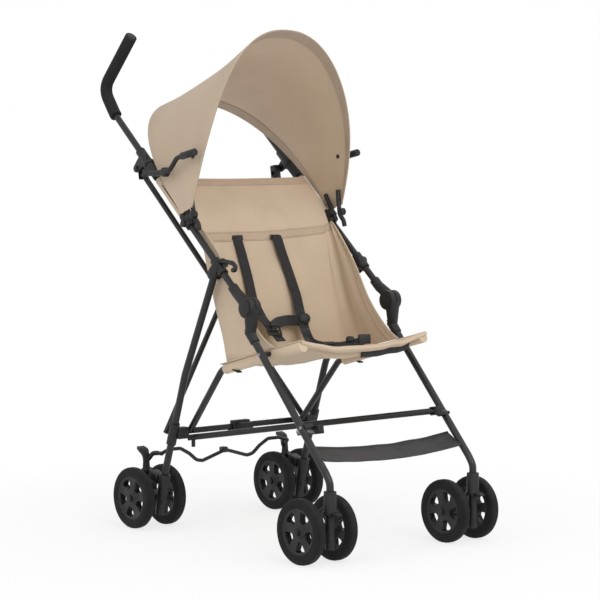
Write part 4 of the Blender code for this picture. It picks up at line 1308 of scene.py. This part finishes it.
def backdrop_rays(tree):
    """1 for rays that show the backdrop itself, and 0 for rays that only carry light."""
    rays = tree.nodes.new("ShaderNodeLightPath").outputs
    seen = math_of(tree, "MAXIMUM", rays["Is Camera Ray"], rays["Is Glossy Ray"])
    return math_of(tree, "MAXIMUM", seen, rays["Is Transmission Ray"])


def mixed_into(tree, end, factor, first, second):
    """Two shaders mixed by a factor and led to the socket of an output node."""
    either = tree.nodes.new("ShaderNodeMixShader")
    for socket, value in zip(either.inputs, (factor, first.outputs[0], second.outputs[0])):
        feed(tree, socket, value)
    feed(tree, end, either.outputs[0])


def floor_and_world():
    """A pale floor that fades to white away from the part, under a white room."""
    deselect()
    bpy.ops.mesh.primitive_plane_add(size=40)
    floor = bpy.context.object
    floor.name = "floor"
    material, tree, shader = new_material("pale_floor")
    place = tree.nodes.new("ShaderNodeTexCoord").outputs["Object"]
    tone = colour_between(tree, noise_of(tree, place, 2.0), (0.96, 0.96, 0.96), (0.98, 0.98, 0.98))
    for label, value in (("Base Color", tone), ("Roughness", 1.0), ("Specular IOR Level", 0.0)):
        feed(tree, shader.inputs[label], value)
    spread_out = put(tree, "ShaderNodeVectorMath", Vector=place)
    spread_out.operation = "LENGTH"
    away = scaled(tree, spread_out.outputs["Value"], 0.35, 1.1, 0.74, 1.0)
    white = put(tree, "ShaderNodeEmission", Color=WHITE, Strength=1.0)
    shown = math_of(tree, "MULTIPLY", backdrop_rays(tree), away)
    mixed_into(tree, tree.nodes["Material Output"].inputs["Surface"], shown, shader, white)
    floor.data.materials.append(material)

    world = bpy.data.worlds.new("studio")
    bpy.context.scene.world = world
    world.use_nodes = True
    tree = world.node_tree
    tree.nodes.clear()
    room = put(tree, "ShaderNodeBackground", Color=WHITE, Strength=0.72)
    backdrop = put(tree, "ShaderNodeBackground", Color=WHITE, Strength=1.0)
    end = tree.nodes.new("ShaderNodeOutputWorld").inputs[0]
    mixed_into(tree, end, backdrop_rays(tree), room, backdrop)


def stage():
    floor_and_world()
    for name, place, power, size in (
        ("key", (-0.4, -3.2, 2.9), 52.0, 2.4),
        ("fill", (-3.0, -0.6, 2.0), 12.0, 2.6),
    ):
        deselect()
        bpy.ops.object.light_add(type="AREA", location=place)
        lamp = bpy.context.object
        lamp.name = name
        lamp.data.energy = power
        lamp.data.size = size
        way = Vector((0, 0, 0.5)) - Vector(place)
        lamp.rotation_euler = way.to_track_quat("-Z", "Y").to_euler()

    deselect()
    bpy.ops.object.camera_add(
        location=(-2.8784, -3.4543, 0.7801),
        rotation=(math.radians(86.275), 0.0, math.radians(-40.165)),
    )
    camera = bpy.context.object
    camera.data.lens = 128.6
    camera.data.sensor_width = 36.0
    bpy.context.scene.camera = camera
    bpy.context.scene.view_settings.view_transform = "Standard"


stage()
